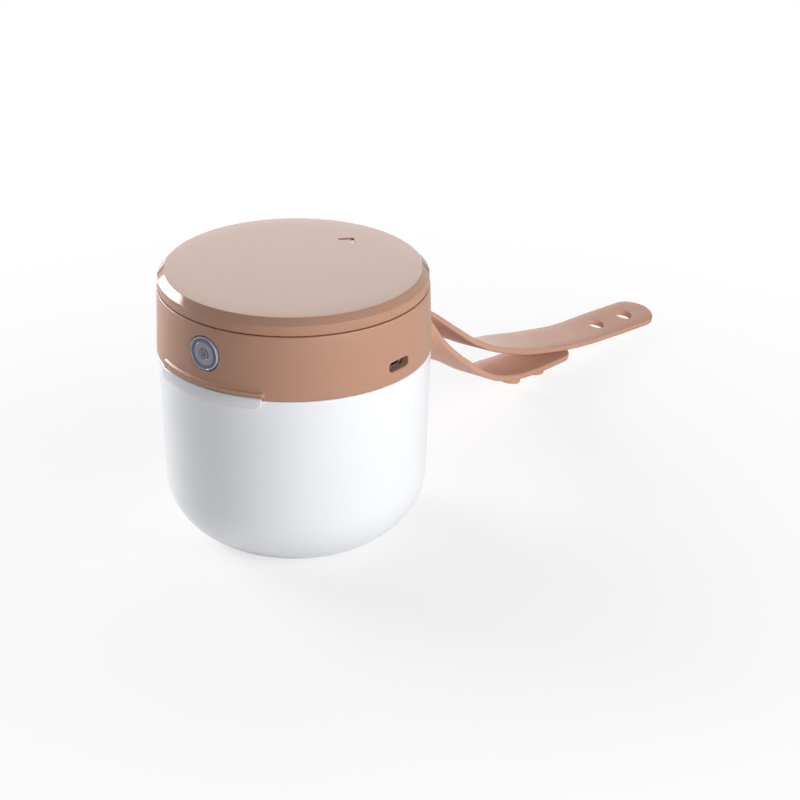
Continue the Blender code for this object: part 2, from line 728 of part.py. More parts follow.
def make_soother_rack():
    section = [
        (0, RACK_BOTTOM),
        (RACK_RADIUS, RACK_BOTTOM),
        (RACK_RADIUS, RACK_BOTTOM + RACK_RIM_HEIGHT),
        (RACK_RADIUS - RACK_RIM_WALL, RACK_BOTTOM + RACK_RIM_HEIGHT),
        (RACK_RADIUS - RACK_RIM_WALL, RACK_TOP),
        (0, RACK_TOP),
    ]
    rack = solid("soother_rack", turned(section, INNER_RING_STEPS), ((0.84, 0.88, 0.90), 0.1, 0.0, 0.8))
    for foot in range(RACK_FEET):
        place = round_point(RACK_FOOT_CIRCLE, 360 * (foot + 1 / 4) / RACK_FEET, LINER_TOP + GAP)
        top = Vector((place.x, place.y, RACK_BOTTOM + RACK_THICKNESS / 2))
        join(rack, rod(place, top, RACK_FOOT_RADIUS))
    for slot in range(RACK_SLOTS):
        outline = rounded_rectangle(RACK_SLOT_END - RACK_SLOT_START, RACK_SLOT_WIDTH, RACK_SLOT_WIDTH / 2)
        shape = prism(outline, RACK_BOTTOM - OVERRUN, RACK_TOP + OVERRUN)
        middle = (RACK_SLOT_START + RACK_SLOT_END) / 2
        shape.transform(Matrix.Translation((middle, 0, 0)))
        turn = 360 * slot / RACK_SLOTS + RACK_SLOT_TURN
        shape.transform(Matrix.Rotation(math.radians(turn), 4, "Z"))
        cut(rack, shape)
    return rack


def make_hinge_pin():
    reach = HEAD_KNUCKLE_WIDTH / 2 + GAP + CUP_KNUCKLE_WIDTH
    start = (-reach, HINGE_REACH, HINGE_HEIGHT)
    shape = rod(start, (reach, HINGE_REACH, HINGE_HEIGHT), HINGE_PIN_RADIUS)
    return solid("hinge_pin", shape, ((0.72, 0.72, 0.73), 0.25, 1.0))


def make_strap_pin():
    bottom = strap_gap_bottom() - EAR_THICKNESS
    top = strap_gap_top() + EAR_THICKNESS
    shape = rod((0, LUG_REACH, bottom), (0, LUG_REACH, top), STRAP_PIN_RADIUS)
    return solid("strap_pin", shape, ((0.72, 0.72, 0.73), 0.25, 1.0))


def make_head_housing():
    """The coloured band of the head, with its finger lip, shelf, holes and knuckle."""
    top_radius = POD_RADIUS - BAND_TAPER
    section = [
        (POD_RADIUS - BAND_EDGE, BAND_BOTTOM),
        (POD_RADIUS, BAND_BOTTOM + BAND_EDGE),
        (top_radius, BAND_TOP - BAND_EDGE),
        (top_radius - BAND_EDGE, BAND_TOP),
        (top_radius - BAND_WALL, BAND_TOP),
        (BAND_INNER_RADIUS, SHELF_TOP),
        (BAND_INNER_RADIUS - SHELF_WIDTH, SHELF_TOP),
        (BAND_INNER_RADIUS - SHELF_WIDTH, SHELF_BOTTOM),
        (BAND_INNER_RADIUS, SHELF_BOTTOM),
        (BAND_INNER_RADIUS, BAND_BOTTOM),
    ]
    housing = solid("head_housing", turned(section), ((0.50, 0.26, 0.18), 0.5))
    join(housing, swept(lip_section, lip_angles()))
    tab_side = TAB_HALF_ANGLE + math.degrees(GAP / POD_RADIUS)
    inner = BAND_INNER_RADIUS - OVERRUN
    outer = POD_RADIUS + LIP_REACH + OVERRUN
    ends = (FRONT_ANGLE - tab_side, FRONT_ANGLE + tab_side)
    cut(housing, web(inner, outer, SEAM_HEIGHT - OVERRUN, SEAM_HEIGHT + LIP_RISE, *ends, TAB_STEPS))
    inner = POD_RADIUS - UNION_DEPTH - SEAM_GAP
    bottom = BAND_BOTTOM + SEAM_GAP
    ends = (REAR_ANGLE - HEAD_WEB_HALF_ANGLE, REAR_ANGLE + HEAD_WEB_HALF_ANGLE)
    join(housing, web(inner, HINGE_REACH, bottom, bottom + HEAD_WEB_HEIGHT, *ends))
    join(housing, knuckle(-HEAD_KNUCKLE_WIDTH / 2, HEAD_KNUCKLE_WIDTH / 2))
    cut(housing, hinge_bore())
    hole_inner = (0, -BUTTON_SEAT + BUTTON_FLANGE_THICKNESS, BUTTON_CENTRE_HEIGHT)
    hole_outer = (0, -POD_RADIUS - OVERRUN, BUTTON_CENTRE_HEIGHT)
    cut(housing, rod(hole_inner, hole_outer, BUTTON_RADIUS + GAP, SMALL_RING_STEPS))
    cut(housing, port_slot())
    side = PORT_SHELL_WIDTH / 2 + 2 * GAP
    low = (BAND_INNER_RADIUS - 2 * SHELF_WIDTH, PORT_OFFSET - side, SHELF_BOTTOM - OVERRUN)
    top = PORT_CENTRE_HEIGHT + PORT_SHELL_HEIGHT / 2 + GAP
    cut(housing, block(low, (PORT_SHELL_FRONT + GAP, PORT_OFFSET + side, top)))
    return housing


def lip_section(angle):
    """The flared finger lip: a hollow curve from the band's face out to a thin edge."""
    side_gap = math.radians(LIP_HALF_ANGLE - abs(angle - FRONT_ANGLE)) * POD_RADIUS
    inside = max(LIP_END - side_gap, 0) / LIP_END
    reach = LIP_END_REACH + (LIP_REACH - LIP_END_REACH) * math.sqrt(max(1 - inside**2, 0))
    bottom = SEAM_HEIGHT + LIP_RISE - SEAM_GAP
    top = SEAM_HEIGHT + LIP_TOP
    edge = SEAM_HEIGHT + LIP_RISE + LIP_EDGE_HEIGHT
    face = POD_RADIUS - LIP_SINK
    curve = []
    for turn in spread(0, math.pi / 2, LIP_CURVE_STEPS):
        curve.append((face + reach * (1 - math.cos(turn)), top - (top - edge) * math.sin(turn)))
    root = POD_RADIUS - UNION_DEPTH
    return (*curve, (face + reach, bottom), (root, bottom), (root, top))


def lip_angles():
    end = math.degrees(LIP_END / POD_RADIUS)
    first = FRONT_ANGLE - LIP_HALF_ANGLE
    last = FRONT_ANGLE + LIP_HALF_ANGLE
    rounds = [end * (1 - math.cos(math.radians(90 * k / 4))) for k in range(4)]
    middle = spread(first + end, last - end, TAB_STEPS)
    return [first + part for part in rounds] + middle + [last - part for part in reversed(rounds)]


def port_slot():
    """The rounded slot for the charging port, cut through the band at +X."""
    outline = rounded_rectangle(PORT_SLOT_WIDTH, PORT_SLOT_HEIGHT, PORT_SLOT_CORNER)
    shape = prism(outline, PORT_SHELL_FRONT, POD_RADIUS + OVERRUN)
    shape.transform(port_placement())
    return shape


def port_placement():
    """Turns a prism to run along X and puts it at the charging port."""
    return Matrix(((0, 0, 1, 0), (1, 0, 0, PORT_OFFSET), (0, 1, 0, PORT_CENTRE_HEIGHT), (0, 0, 0, 1)))


def screw_places():
    return [(side * SCREW_PLACE, row * SCREW_PLACE) for row in (-1, 1) for side in (-1, 1)]


def make_top_cover():
    spigot = POD_RADIUS - BAND_TAPER - BAND_WALL - GAP
    section = [
        (0, COVER_UNDERSIDE),
        (spigot - COVER_SPIGOT_WALL, COVER_UNDERSIDE),
        (spigot - COVER_SPIGOT_WALL, COVER_BOTTOM - COVER_SPIGOT_DEPTH),
        (spigot, COVER_BOTTOM - COVER_SPIGOT_DEPTH),
        (spigot, COVER_BOTTOM),
        (COVER_RADIUS, COVER_BOTTOM),
        (COVER_RADIUS, COVER_SHOULDER),
        (COVER_RADIUS - COVER_CHAMFER, COVER_TOP),
        (0, COVER_TOP),
    ]
    cover = solid("top_cover", turned(section), ((0.55, 0.31, 0.22), 0.45))
    boss_bottom = BOARD_TOP + GAP
    for x, y in screw_places():
        join(cover, rod((x, y, boss_bottom), (x, y, COVER_UNDERSIDE + UNION_DEPTH), BOSS_RADIUS))
    for x, y in screw_places():
        top = screw_seat() + SCREW_LENGTH + GAP
        cut(cover, rod((x, y, boss_bottom - OVERRUN), (x, y, top), SCREW_SHANK_RADIUS + GAP))
    cut(cover, prism(chevron(), COVER_TOP - CHEVRON_DEPTH, COVER_TOP + OVERRUN))
    return cover


def chevron():
    """The engraved arrow head, which points to the hinge."""
    tip = CHEVRON_PLACE
    return [
        (0, tip),
        (-CHEVRON_HALF, tip - CHEVRON_RISE),
        (-CHEVRON_HALF + CHEVRON_LINE / 2, tip - CHEVRON_RISE - CHEVRON_LINE / 2),
        (0, tip - CHEVRON_LINE),
        (CHEVRON_HALF - CHEVRON_LINE / 2, tip - CHEVRON_RISE - CHEVRON_LINE / 2),
        (CHEVRON_HALF, tip - CHEVRON_RISE),
    ]


def screw_seat():
    """Height of the screw heads' upper face, in the counterbores of the head floor."""
    return FLOOR_BOTTOM + SCREW_HEAD_HEIGHT + GAP


def make_head_floor():
    collar_inner = WINDOW_RADIUS + GAP
    collar_outer = collar_inner + COLLAR_WALL
    section = [
        (LAMP_OPENING_RADIUS, FLOOR_BOTTOM),
        (GROOVE_INNER_RADIUS, FLOOR_BOTTOM),
        (GROOVE_INNER_RADIUS, FLOOR_BOTTOM + SEAL_GROOVE_DEPTH),
        (GROOVE_OUTER_RADIUS, FLOOR_BOTTOM + SEAL_GROOVE_DEPTH),
        (GROOVE_OUTER_RADIUS, FLOOR_BOTTOM),
        (FLOOR_RADIUS, FLOOR_BOTTOM),
        (FLOOR_RADIUS, FLOOR_TOP),
        (collar_outer, FLOOR_TOP),
        (collar_outer, FLOOR_TOP + COLLAR_HEIGHT),
        (collar_inner, FLOOR_TOP + COLLAR_HEIGHT),
        (collar_inner, FLOOR_TOP),
        (LAMP_OPENING_RADIUS, FLOOR_TOP),
    ]
    floor = solid("head_floor", turned(section, INNER_RING_STEPS), ((0.84, 0.85, 0.86), 0.35))
    for x, y in screw_places():
        join(floor, rod((x, y, FLOOR_TOP - UNION_DEPTH), (x, y, POST_TOP), POST_RADIUS))
    start = FLOOR_BOTTOM - OVERRUN
    for x, y in screw_places():
        cut(floor, rod((x, y, start), (x, y, POST_TOP + OVERRUN), SCREW_SHANK_RADIUS + GAP))
        cut(floor, rod((x, y, start), (x, y, screw_seat() + GAP), SCREW_HEAD_RADIUS + GAP))
    return floor


def make_lid_seal():
    inner = GROOVE_INNER_RADIUS + GAP
    outer = inner + SEAL_WIDTH
    bottom = RING_TOP + GAP
    top = FLOOR_BOTTOM + SEAL_GROOVE_DEPTH - GAP
    section = [
        (inner + SEAL_EDGE, bottom),
        (outer - SEAL_EDGE, bottom),
        (outer, bottom + SEAL_EDGE),
        (outer, top),
        (inner, top),
        (inner, bottom + SEAL_EDGE),
    ]
    return solid("lid_seal", turned(section, INNER_RING_STEPS), ((0.75, 0.76, 0.77), 0.7))


def make_head_magnet():
    centre = (0, -HEAD_MAGNET_PLACE, FLOOR_TOP + GAP + HEAD_MAGNET_HEIGHT / 2)
    size = (HEAD_MAGNET_LENGTH, HEAD_MAGNET_WIDTH, HEAD_MAGNET_HEIGHT)
    return solid("head_magnet", centred_block(centre, size), ((0.62, 0.62, 0.64), 0.3, 1.0))


def make_screws():
    """Four screws from below, through the floor's posts and the main board into the cover's bosses."""
    screws = []
    for index, (x, y) in enumerate(screw_places()):
        seat = screw_seat()
        head = seat - SCREW_HEAD_HEIGHT
        section = [
            (0, head + SCREW_SOCKET_DEPTH),
            (SCREW_SOCKET_RADIUS, head + SCREW_SOCKET_DEPTH),
            (SCREW_SOCKET_RADIUS, head),
            (SCREW_HEAD_RADIUS, head),
            (SCREW_HEAD_RADIUS, seat),
            (SCREW_SHANK_RADIUS, seat),
            (SCREW_SHANK_RADIUS, seat + SCREW_LENGTH),
            (0, seat + SCREW_LENGTH),
        ]
        shape = turned(section, ROD_STEPS)
        screw = solid(f"head_screw_{index + 1}", shape, ((0.6, 0.6, 0.62), 0.3, 1.0))
        screw.location = (x, y, 0)
        screws.append(screw)
    return screws


def make_uv_window():
    shape = rod((0, 0, WINDOW_BOTTOM), (0, 0, WINDOW_TOP), WINDOW_RADIUS, SMALL_RING_STEPS)
    return solid("uv_window", shape, ((0.9, 0.92, 0.95), 0.05, 0.0, 0.9))


def make_reflector():
    foot = LAMP_OPENING_RADIUS
    flange_top = REFLECTOR_BOTTOM + REFLECTOR_FLANGE
    section = [
        (foot, REFLECTOR_BOTTOM),
        (WINDOW_RADIUS, REFLECTOR_BOTTOM),
        (WINDOW_RADIUS, flange_top),
        (foot + REFLECTOR_WALL, flange_top),
        (REFLECTOR_TOP_RADIUS + REFLECTOR_WALL, REFLECTOR_TOP),
        (REFLECTOR_TOP_RADIUS, REFLECTOR_TOP),
    ]
    return solid("reflector", turned(section, SMALL_RING_STEPS), ((0.86, 0.87, 0.88), 0.08, 1.0))


def make_uv_board():
    shape = rod((0, 0, LAMP_BOARD_BOTTOM), (0, 0, LAMP_BOARD_TOP), LAMP_BOARD_RADIUS, SMALL_RING_STEPS)
    return solid("uv_board", shape, ((0.85, 0.86, 0.84), 0.4))


def make_uv_led(name, side):
    centre = (side * LAMP_SPACING / 2, 0, LAMP_BOARD_BOTTOM - GAP - LAMP_HEIGHT / 2)
    shape = centred_block(centre, (LAMP_SIZE, LAMP_SIZE, LAMP_HEIGHT))
    return solid(name, shape, ((0.8, 0.75, 0.5), 0.2))


def make_main_board():
    section = [
        (BOARD_INNER_RADIUS, BOARD_BOTTOM),
        (BOARD_OUTER_RADIUS, BOARD_BOTTOM),
        (BOARD_OUTER_RADIUS, BOARD_TOP),
        (BOARD_INNER_RADIUS, BOARD_TOP),
    ]
    board = solid("main_board", turned(section, INNER_RING_STEPS), ((0.05, 0.22, 0.12), 0.5))
    start = BOARD_BOTTOM - OVERRUN
    for x, y in screw_places():
        cut(board, rod((x, y, start), (x, y, BOARD_TOP + OVERRUN), SCREW_SHANK_RADIUS + GAP))
    return board


def make_chips():
    black = ((0.03, 0.03, 0.03), 0.5)
    control_size = (CONTROL_CHIP_SIZE, CONTROL_CHIP_SIZE, CHIP_HEIGHT)
    control = centred_block((0, CONTROL_CHIP_PLACE, BOARD_SEAT + CHIP_HEIGHT / 2), control_size)
    charger_size = (CHARGER_CHIP_WIDTH, CHARGER_CHIP_LENGTH, CHIP_HEIGHT)
    charger = centred_block((CHARGER_CHIP_PLACE, 0, BOARD_SEAT + CHIP_HEIGHT / 2), charger_size)
    sensor_size = (SENSOR_LENGTH, SENSOR_WIDTH, SENSOR_HEIGHT)
    sensor = centred_block((0, -SENSOR_PLACE, BOARD_BOTTOM - GAP - SENSOR_HEIGHT / 2), sensor_size)
    return [
        solid("control_chip", control, black),
        solid("charger_chip", charger, black),
        solid("hall_sensor", sensor, black),
    ]


def port_outline(inset):
    """The charging port's section: square above, slanted at its two lower corners."""
    side = PORT_SHELL_WIDTH / 2 - inset
    rise = PORT_SHELL_HEIGHT / 2 - inset
    slant = PORT_SHELL_SLANT
    left = [(-side, rise), (-side, slant - rise), (slant - side, -rise)]
    return left + [(-x, y) for x, y in reversed(left)]


def along_port(points, back, front):
    """A section of the port, run along X between two distances from the axis."""
    shape = prism(points, back, front)
    shape.transform(port_placement())
    return shape


def make_usb_shell():
    back = PORT_SHELL_FRONT - PORT_SHELL_LENGTH
    shape = along_port(port_outline(0), back, PORT_SHELL_FRONT)
    shell = solid("usb_shell", shape, ((0.7, 0.7, 0.72), 0.25, 1.0))
    inside = port_outline(PORT_SHELL_WALL)
    cut(shell, along_port(inside, back + PORT_SHELL_WALL, PORT_SHELL_FRONT + OVERRUN))
    return shell


def make_usb_tongue():
    back = PORT_SHELL_FRONT - PORT_SHELL_LENGTH + PORT_SHELL_WALL + GAP
    base = back + PORT_TONGUE_BASE
    front = PORT_SHELL_FRONT - PORT_TONGUE_SETBACK
    block_points = port_outline(PORT_SHELL_WALL + GAP)
    tongue = solid("usb_tongue", along_port(block_points, back, base), ((0.04, 0.04, 0.04), 0.4))
    half = PORT_TONGUE_WIDTH / 2
    thick = PORT_TONGUE_THICKNESS / 2
    plate = [(-half, thick), (-half, -thick), (half, -thick), (half, thick)]
    join(tongue, along_port(plate, base - PORT_TONGUE_BASE / 2, front))
    return tongue


def make_power_button():
    """The translucent button cap. Its flange is trapped behind the band's wall."""
    depth = BUTTON_FACE - BUTTON_SEAT + BUTTON_FLANGE_THICKNESS
    flange = BUTTON_RADIUS + BUTTON_FLANGE
    section = [
        (0, 0),
        (flange, 0),
        (flange, BUTTON_FLANGE_THICKNESS),
        (BUTTON_RADIUS, BUTTON_FLANGE_THICKNESS),
        (BUTTON_RADIUS, depth),
        (BUTTON_RADIUS - BUTTON_RIM / 2, depth + BUTTON_RIM_HEIGHT),
        (BUTTON_RADIUS - BUTTON_RIM, depth),
        (0, depth),
    ]
    shape = turned(section, SMALL_RING_STEPS)
    shape.transform(Matrix.Rotation(math.radians(90), 4, "X"))
    button = solid("power_button", shape, ((0.55, 0.57, 0.66), 0.3, 0.0, 0.3))
    button.location = (0, -BUTTON_SEAT + BUTTON_FLANGE_THICKNESS, BUTTON_CENTRE_HEIGHT)
    return button


def make_switch_plunger():
    front = -BUTTON_SEAT + BUTTON_FLANGE_THICKNESS + GAP
    back = -SWITCH_FRONT + SWITCH_BORE_DEPTH - BUTTON_TRAVEL - GAP
    shape = rod((0, front, BUTTON_CENTRE_HEIGHT), (0, back, BUTTON_CENTRE_HEIGHT), PLUNGER_RADIUS)
    return solid("switch_plunger", shape, ((0.05, 0.05, 0.05), 0.5))


def make_switch_body():
    centre = (0, -SWITCH_FRONT + SWITCH_DEPTH / 2, BUTTON_CENTRE_HEIGHT)
    shape = centred_block(centre, (SWITCH_SIZE, SWITCH_DEPTH, SWITCH_SIZE))
    body = solid("switch_body", shape, ((0.12, 0.12, 0.13), 0.4))
    start = (0, -SWITCH_FRONT - OVERRUN, BUTTON_CENTRE_HEIGHT)
    end = (0, -SWITCH_FRONT + SWITCH_BORE_DEPTH, BUTTON_CENTRE_HEIGHT)
    cut(body, rod(start, end, PLUNGER_RADIUS + GAP))
    return body


def make_switch_board():
    front = -SWITCH_FRONT + SWITCH_DEPTH + GAP
    low = (-SWITCH_BOARD_WIDTH / 2, front, BOARD_SEAT)
    high = (SWITCH_BOARD_WIDTH / 2, front + SWITCH_BOARD_THICKNESS, BOARD_SEAT + SWITCH_BOARD_HEIGHT)
    return solid("switch_board", block(low, high), ((0.05, 0.22, 0.12), 0.5))


def make_status_led():
    back = -SWITCH_FRONT + SWITCH_DEPTH
    middle = BUTTON_CENTRE_HEIGHT + SWITCH_SIZE / 2 + STATUS_LED_LIFT
    low = (STATUS_LED_PLACE - STATUS_LED_WIDTH / 2, back - STATUS_LED_DEPTH, middle - STATUS_LED_HEIGHT / 2)
    high = (STATUS_LED_PLACE + STATUS_LED_WIDTH / 2, back, middle + STATUS_LED_HEIGHT / 2)
    return solid("status_led", block(low, high), ((0.85, 0.86, 0.8), 0.2))


def make_battery_carrier():
    """A tray on four legs, which stands on the main board, holds the battery and clamps the lamps."""
    half = Vector((BATTERY_LENGTH / 2 + GAP + CARRIER_WALL, BATTERY_WIDTH / 2 + GAP + CARRIER_WALL, 0))
    pocket = half - Vector((CARRIER_WALL, CARRIER_WALL, 0))
    bottom = Vector((0, 0, CARRIER_BOTTOM))
    floor = Vector((0, 0, CARRIER_BOTTOM + CARRIER_FLOOR))
    top = Vector((0, 0, CARRIER_BOTTOM + CARRIER_FLOOR + CARRIER_RIM))
    carrier = solid("battery_carrier", block(bottom - half, top + half), ((0.18, 0.18, 0.2), 0.6))
    for side in (-1, 1):
        for row in (-1, 1):
            foot = (side * CARRIER_LEG_X, row * CARRIER_LEG_Y, BOARD_SEAT)
            head = (side * CARRIER_LEG_X, row * CARRIER_LEG_Y, CARRIER_BOTTOM + CARRIER_FLOOR / 2)
            join(carrier, rod(foot, head, CARRIER_LEG_RADIUS))
    cut(carrier, block(floor - pocket, top + pocket + Vector((0, 0, OVERRUN))))
    return carrier


def make_battery():
    centre = (0, 0, (BATTERY_BOTTOM + BATTERY_TOP) / 2)
    size = (BATTERY_LENGTH, BATTERY_WIDTH, BATTERY_HEIGHT)
    return solid("battery", centred_block(centre, size, BATTERY_EDGE), ((0.62, 0.63, 0.66), 0.35, 0.6))


def make_battery_foam():
    low = (-FOAM_LENGTH / 2, -FOAM_WIDTH / 2, BATTERY_TOP + GAP)
    high = (FOAM_LENGTH / 2, FOAM_WIDTH / 2, COVER_UNDERSIDE - GAP)
    return solid("battery_foam", block(low, high), ((0.1, 0.1, 0.11), 0.9))


def make_battery_plug():
    centre = (-PLUG_PLACE, 0, BOARD_SEAT + PLUG_HEIGHT / 2)
    shape = centred_block(centre, (PLUG_LENGTH, PLUG_WIDTH, PLUG_HEIGHT))
    return solid("battery_plug", shape, ((0.85, 0.84, 0.8), 0.5))


def make_battery_lead(name, side, colour):
    """One wire from the end of the battery, out and down into its plug."""
    y = side * LEAD_SPACING / 2
    start = Vector((-BATTERY_LENGTH / 2 - GAP, y, (BATTERY_BOTTOM + BATTERY_TOP) / 2))
    end = Vector((-PLUG_PLACE, y, BOARD_SEAT + PLUG_HEIGHT + GAP))
    corner = Vector((-PLUG_PLACE, y, start.z))
    curve = bpy.data.curves.new(name, "CURVE")
    curve.dimensions = "3D"
    curve.bevel_depth = LEAD_RADIUS
    curve.bevel_resolution = 2
    curve.use_fill_caps = True
    line = curve.splines.new("POLY")
    line.points.add(LEAD_POINTS - 1)
    for index, point in enumerate(line.points):
        share = index / (LEAD_POINTS - 1)
        place = start * (1 - share) ** 2 + corner * 2 * share * (1 - share) + end * share**2
        point.co = (*place, 1.0)
    curve.materials.append(material(name, colour, 0.5))
    item = bpy.data.objects.new(name, curve)
    bpy.context.scene.collection.objects.link(item)
    return item


def smooth_rows(rows, steps):
    """Points at even steps on a smooth curve through rows of numbers, which starts along Y."""
    before_first = (rows[1][0], 2 * rows[0][1] - rows[1][1], *rows[1][2:])
    after_last = [2 * end - before for end, before in zip(rows[-1], rows[-2])]
    held = [before_first, *rows, after_last]
    points = []
    for step in range(steps + 1):
        place = step / steps * (len(rows) - 1)
        index = min(int(place), len(rows) - 2)
        t = place - index
        point = []
        for before, start, end, after in zip(*held[index : index + 4]):
            square = 2 * before - 5 * start + 4 * end - after
            cube = 3 * (start - end) + after - before
            point.append(start + (end - before + square * t + cube * t * t) * t / 2)
        points.append(point)
    return points


def strap_end(route, side, reach, drift, end_height):
    """Centre points and twists of one end of the strap, from the pin to its tip."""
    start_x = side * (STRAP_PIN_RADIUS + GAP + STRAP_THICKNESS / 2)
    drop = STRAP_CENTRE_HEIGHT - end_height
    rows = []
    for along, aside, down, twist in route:
        x = start_x - drift * aside
        rows.append((x, LUG_REACH + reach * along, STRAP_CENTRE_HEIGHT - drop * down, math.radians(twist)))
    rows = smooth_rows(rows, STRAP_STEPS)
    centres = [Vector((start_x, LUG_REACH, STRAP_CENTRE_HEIGHT))] + [Vector(row[:3]) for row in rows]
    return centres, [0.0] + [row[3] for row in rows]


def long_end():
    return strap_end(LONG_ROUTE_SHARES, -1, LONG_END_REACH, LONG_END_DRIFT, LONG_END_HEIGHT)


def short_end():
    return strap_end(SHORT_ROUTE_SHARES, 1, SHORT_END_REACH, SHORT_END_DRIFT, SHORT_END_HEIGHT)


def strap_frames(centres, twists):
    """Across-the-width and through-the-thickness directions along one end of the strap."""
    frames = []
    for index, twist in enumerate(twists):
        ahead = centres[min(index + 1, len(centres) - 1)]
        behind = centres[max(index - 1, 0)]
        along = (ahead - behind).normalized()
        aside = along.cross(Vector((0, 0, 1))).normalized()
        upright = aside.cross(along)
        across = upright * math.cos(twist) + aside * math.sin(twist)
        frames.append((along, across, along.cross(across)))
    return frames


def strap_ring(centre, across, through, width):
    """The strap's section: a strip with its four long edges taken off."""
    half = width / 2
    edge = min(STRAP_EDGE, half / 2)
    thick = STRAP_THICKNESS / 2
    corners = (
        (half, thick - edge),
        (half - edge, thick),
        (edge - half, thick),
        (-half, thick - edge),
        (-half, edge - thick),
        (edge - half, -thick),
        (half - edge, -thick),
        (half, edge - thick),
    )
    return [centre + across * a + through * b for a, b in corners]


def strap_end_rings(centres, twists, flip):
    """Sections along one end, with a round tip. flip keeps the thickness facing the other end."""
    frames = strap_frames(centres, twists)
    rings = []
    for centre, (_, across, through) in zip(centres, frames):
        rings.append(strap_ring(centre, across, through * flip, STRAP_WIDTH))
    along, across, through = frames[-1]
    radius = STRAP_WIDTH / 2
    for step in range(1, STRAP_TIP_STEPS + 1):
        turn = math.radians(90 * step / STRAP_TIP_STEPS * (1 - STRAP_TIP_END_SHARE))
        tip = centres[-1] + along * radius * math.sin(turn)
        rings.append(strap_ring(tip, across, through * flip, STRAP_WIDTH * math.cos(turn)))
    return rings


def point_on_end(centres, frames, from_end):
    """A place on one end of the strap, measured back from the centre of its round tip."""
    left = from_end
    for index in range(len(centres) - 1, 0, -1):
        piece = centres[index - 1] - centres[index]
        if piece.length >= left:
            return centres[index] + piece.normalized() * left, frames[index][2]
        left -= piece.length
    return centres[0], frames[0][2]


def make_strap():
    """One moulded silicone strip, looped round the pin, with two studs and two holes."""
    long_centres, long_twists = long_end()
    short_centres, short_twists = short_end()
    turn_radius = STRAP_PIN_RADIUS + GAP + STRAP_THICKNESS / 2
    middle = Vector((0, LUG_REACH, STRAP_CENTRE_HEIGHT))
    loop = []
    for turn in spread(0, math.pi, STRAP_LOOP_STEPS)[1:-1]:
        outward = Vector((math.cos(turn), -math.sin(turn), 0))
        loop.append(strap_ring(middle + outward * turn_radius, Vector((0, 0, 1)), -outward, STRAP_WIDTH))
    short_rings = strap_end_rings(short_centres, short_twists, -1)
    long_rings = strap_end_rings(long_centres, long_twists, 1)
    strap = solid("strap", loft([*reversed(short_rings), *loop, *long_rings]), ((0.58, 0.32, 0.23), 0.55))
    frames = strap_frames(long_centres, long_twists)
    for from_end in (HOLE_FROM_END, HOLE_FROM_END + HOLE_SPACING):
        place, normal = point_on_end(long_centres, frames, from_end)
        reach = normal * (STRAP_THICKNESS + OVERRUN)
        cut(strap, rod(place - reach, place + reach, HOLE_RADIUS))
    frames = strap_frames(short_centres, short_twists)
    for from_end in (STUD_FROM_END, STUD_FROM_END + STUD_SPACING):
        place, normal = point_on_end(short_centres, frames, from_end)
        down = normal if normal.z < 0 else -normal
        join(strap, stud(place, down))
    return strap


def stud(place, down):
    """One mushroom stud, from inside the strip out of its lower face."""
    face = STRAP_THICKNESS / 2
    neck = face + STUD_NECK_HEIGHT
    top = neck + STUD_HEAD_HEIGHT
    section = [
        (0, 0),
        (STUD_NECK_RADIUS, 0),
        (STUD_NECK_RADIUS, neck),
        (STUD_HEAD_RADIUS, neck),
        (STUD_HEAD_RADIUS, top - STUD_EDGE),
        (STUD_HEAD_RADIUS - STUD_EDGE, top),
        (0, top),
    ]
    shape = turned(section, ROD_STEPS)
    turn = down.to_track_quat("Z", "Y").to_matrix().to_4x4()
    shape.transform(Matrix.Translation(place) @ turn)
    return shape


def main():
    remove_old_objects()
    make_cup_shell()
    make_base_pad()
    make_inner_liner()
    make_rim_ring()
    make_cup_magnet()
    make_soother_rack()
    make_hinge_pin()
    make_strap_pin()
    head = pivot("lid_hinge", (0, HINGE_REACH, HINGE_HEIGHT))
    head_pieces = [
        make_head_housing(),
        make_top_cover(),
        make_head_floor(),
        make_lid_seal(),
        make_head_magnet(),
        *make_screws(),
        make_uv_window(),
        make_reflector(),
        make_uv_board(),
        make_uv_led("uv_led_left", -1),
        make_uv_led("uv_led_right", 1),
        make_main_board(),
        *make_chips(),
        make_usb_shell(),
        make_usb_tongue(),
        make_switch_body(),
        make_switch_board(),
        make_status_led(),
        make_battery_carrier(),
        make_battery(),
        make_battery_foam(),
        make_battery_plug(),
        make_battery_lead("battery_lead_red", 1, (0.6, 0.03, 0.03)),
        make_battery_lead("battery_lead_black", -1, (0.02, 0.02, 0.02)),
    ]
    button_slide = pivot("button_slide", (0, -BUTTON_SEAT, BUTTON_CENTRE_HEIGHT))
    carry(button_slide, [make_power_button(), make_switch_plunger()])
    carry(head, [*head_pieces, button_slide])
    carry(pivot("strap_swing", (0, LUG_REACH, STRAP_CENTRE_HEIGHT)), [make_strap()])


main()
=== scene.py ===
# %% [markdown]
# # A portable sterilizer case for soothers
#
# The case is a white cup with a terracotta head, which flips up on a hinge at the back. A silicone strap is
# looped round a pin behind the cup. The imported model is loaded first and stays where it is. Nearly every
# piece that shows is then made again with fine edges and real finishes, and hung on the body it moves with.

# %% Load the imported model
import math

import bmesh
import bpy
from mathutils import Matrix, Vector


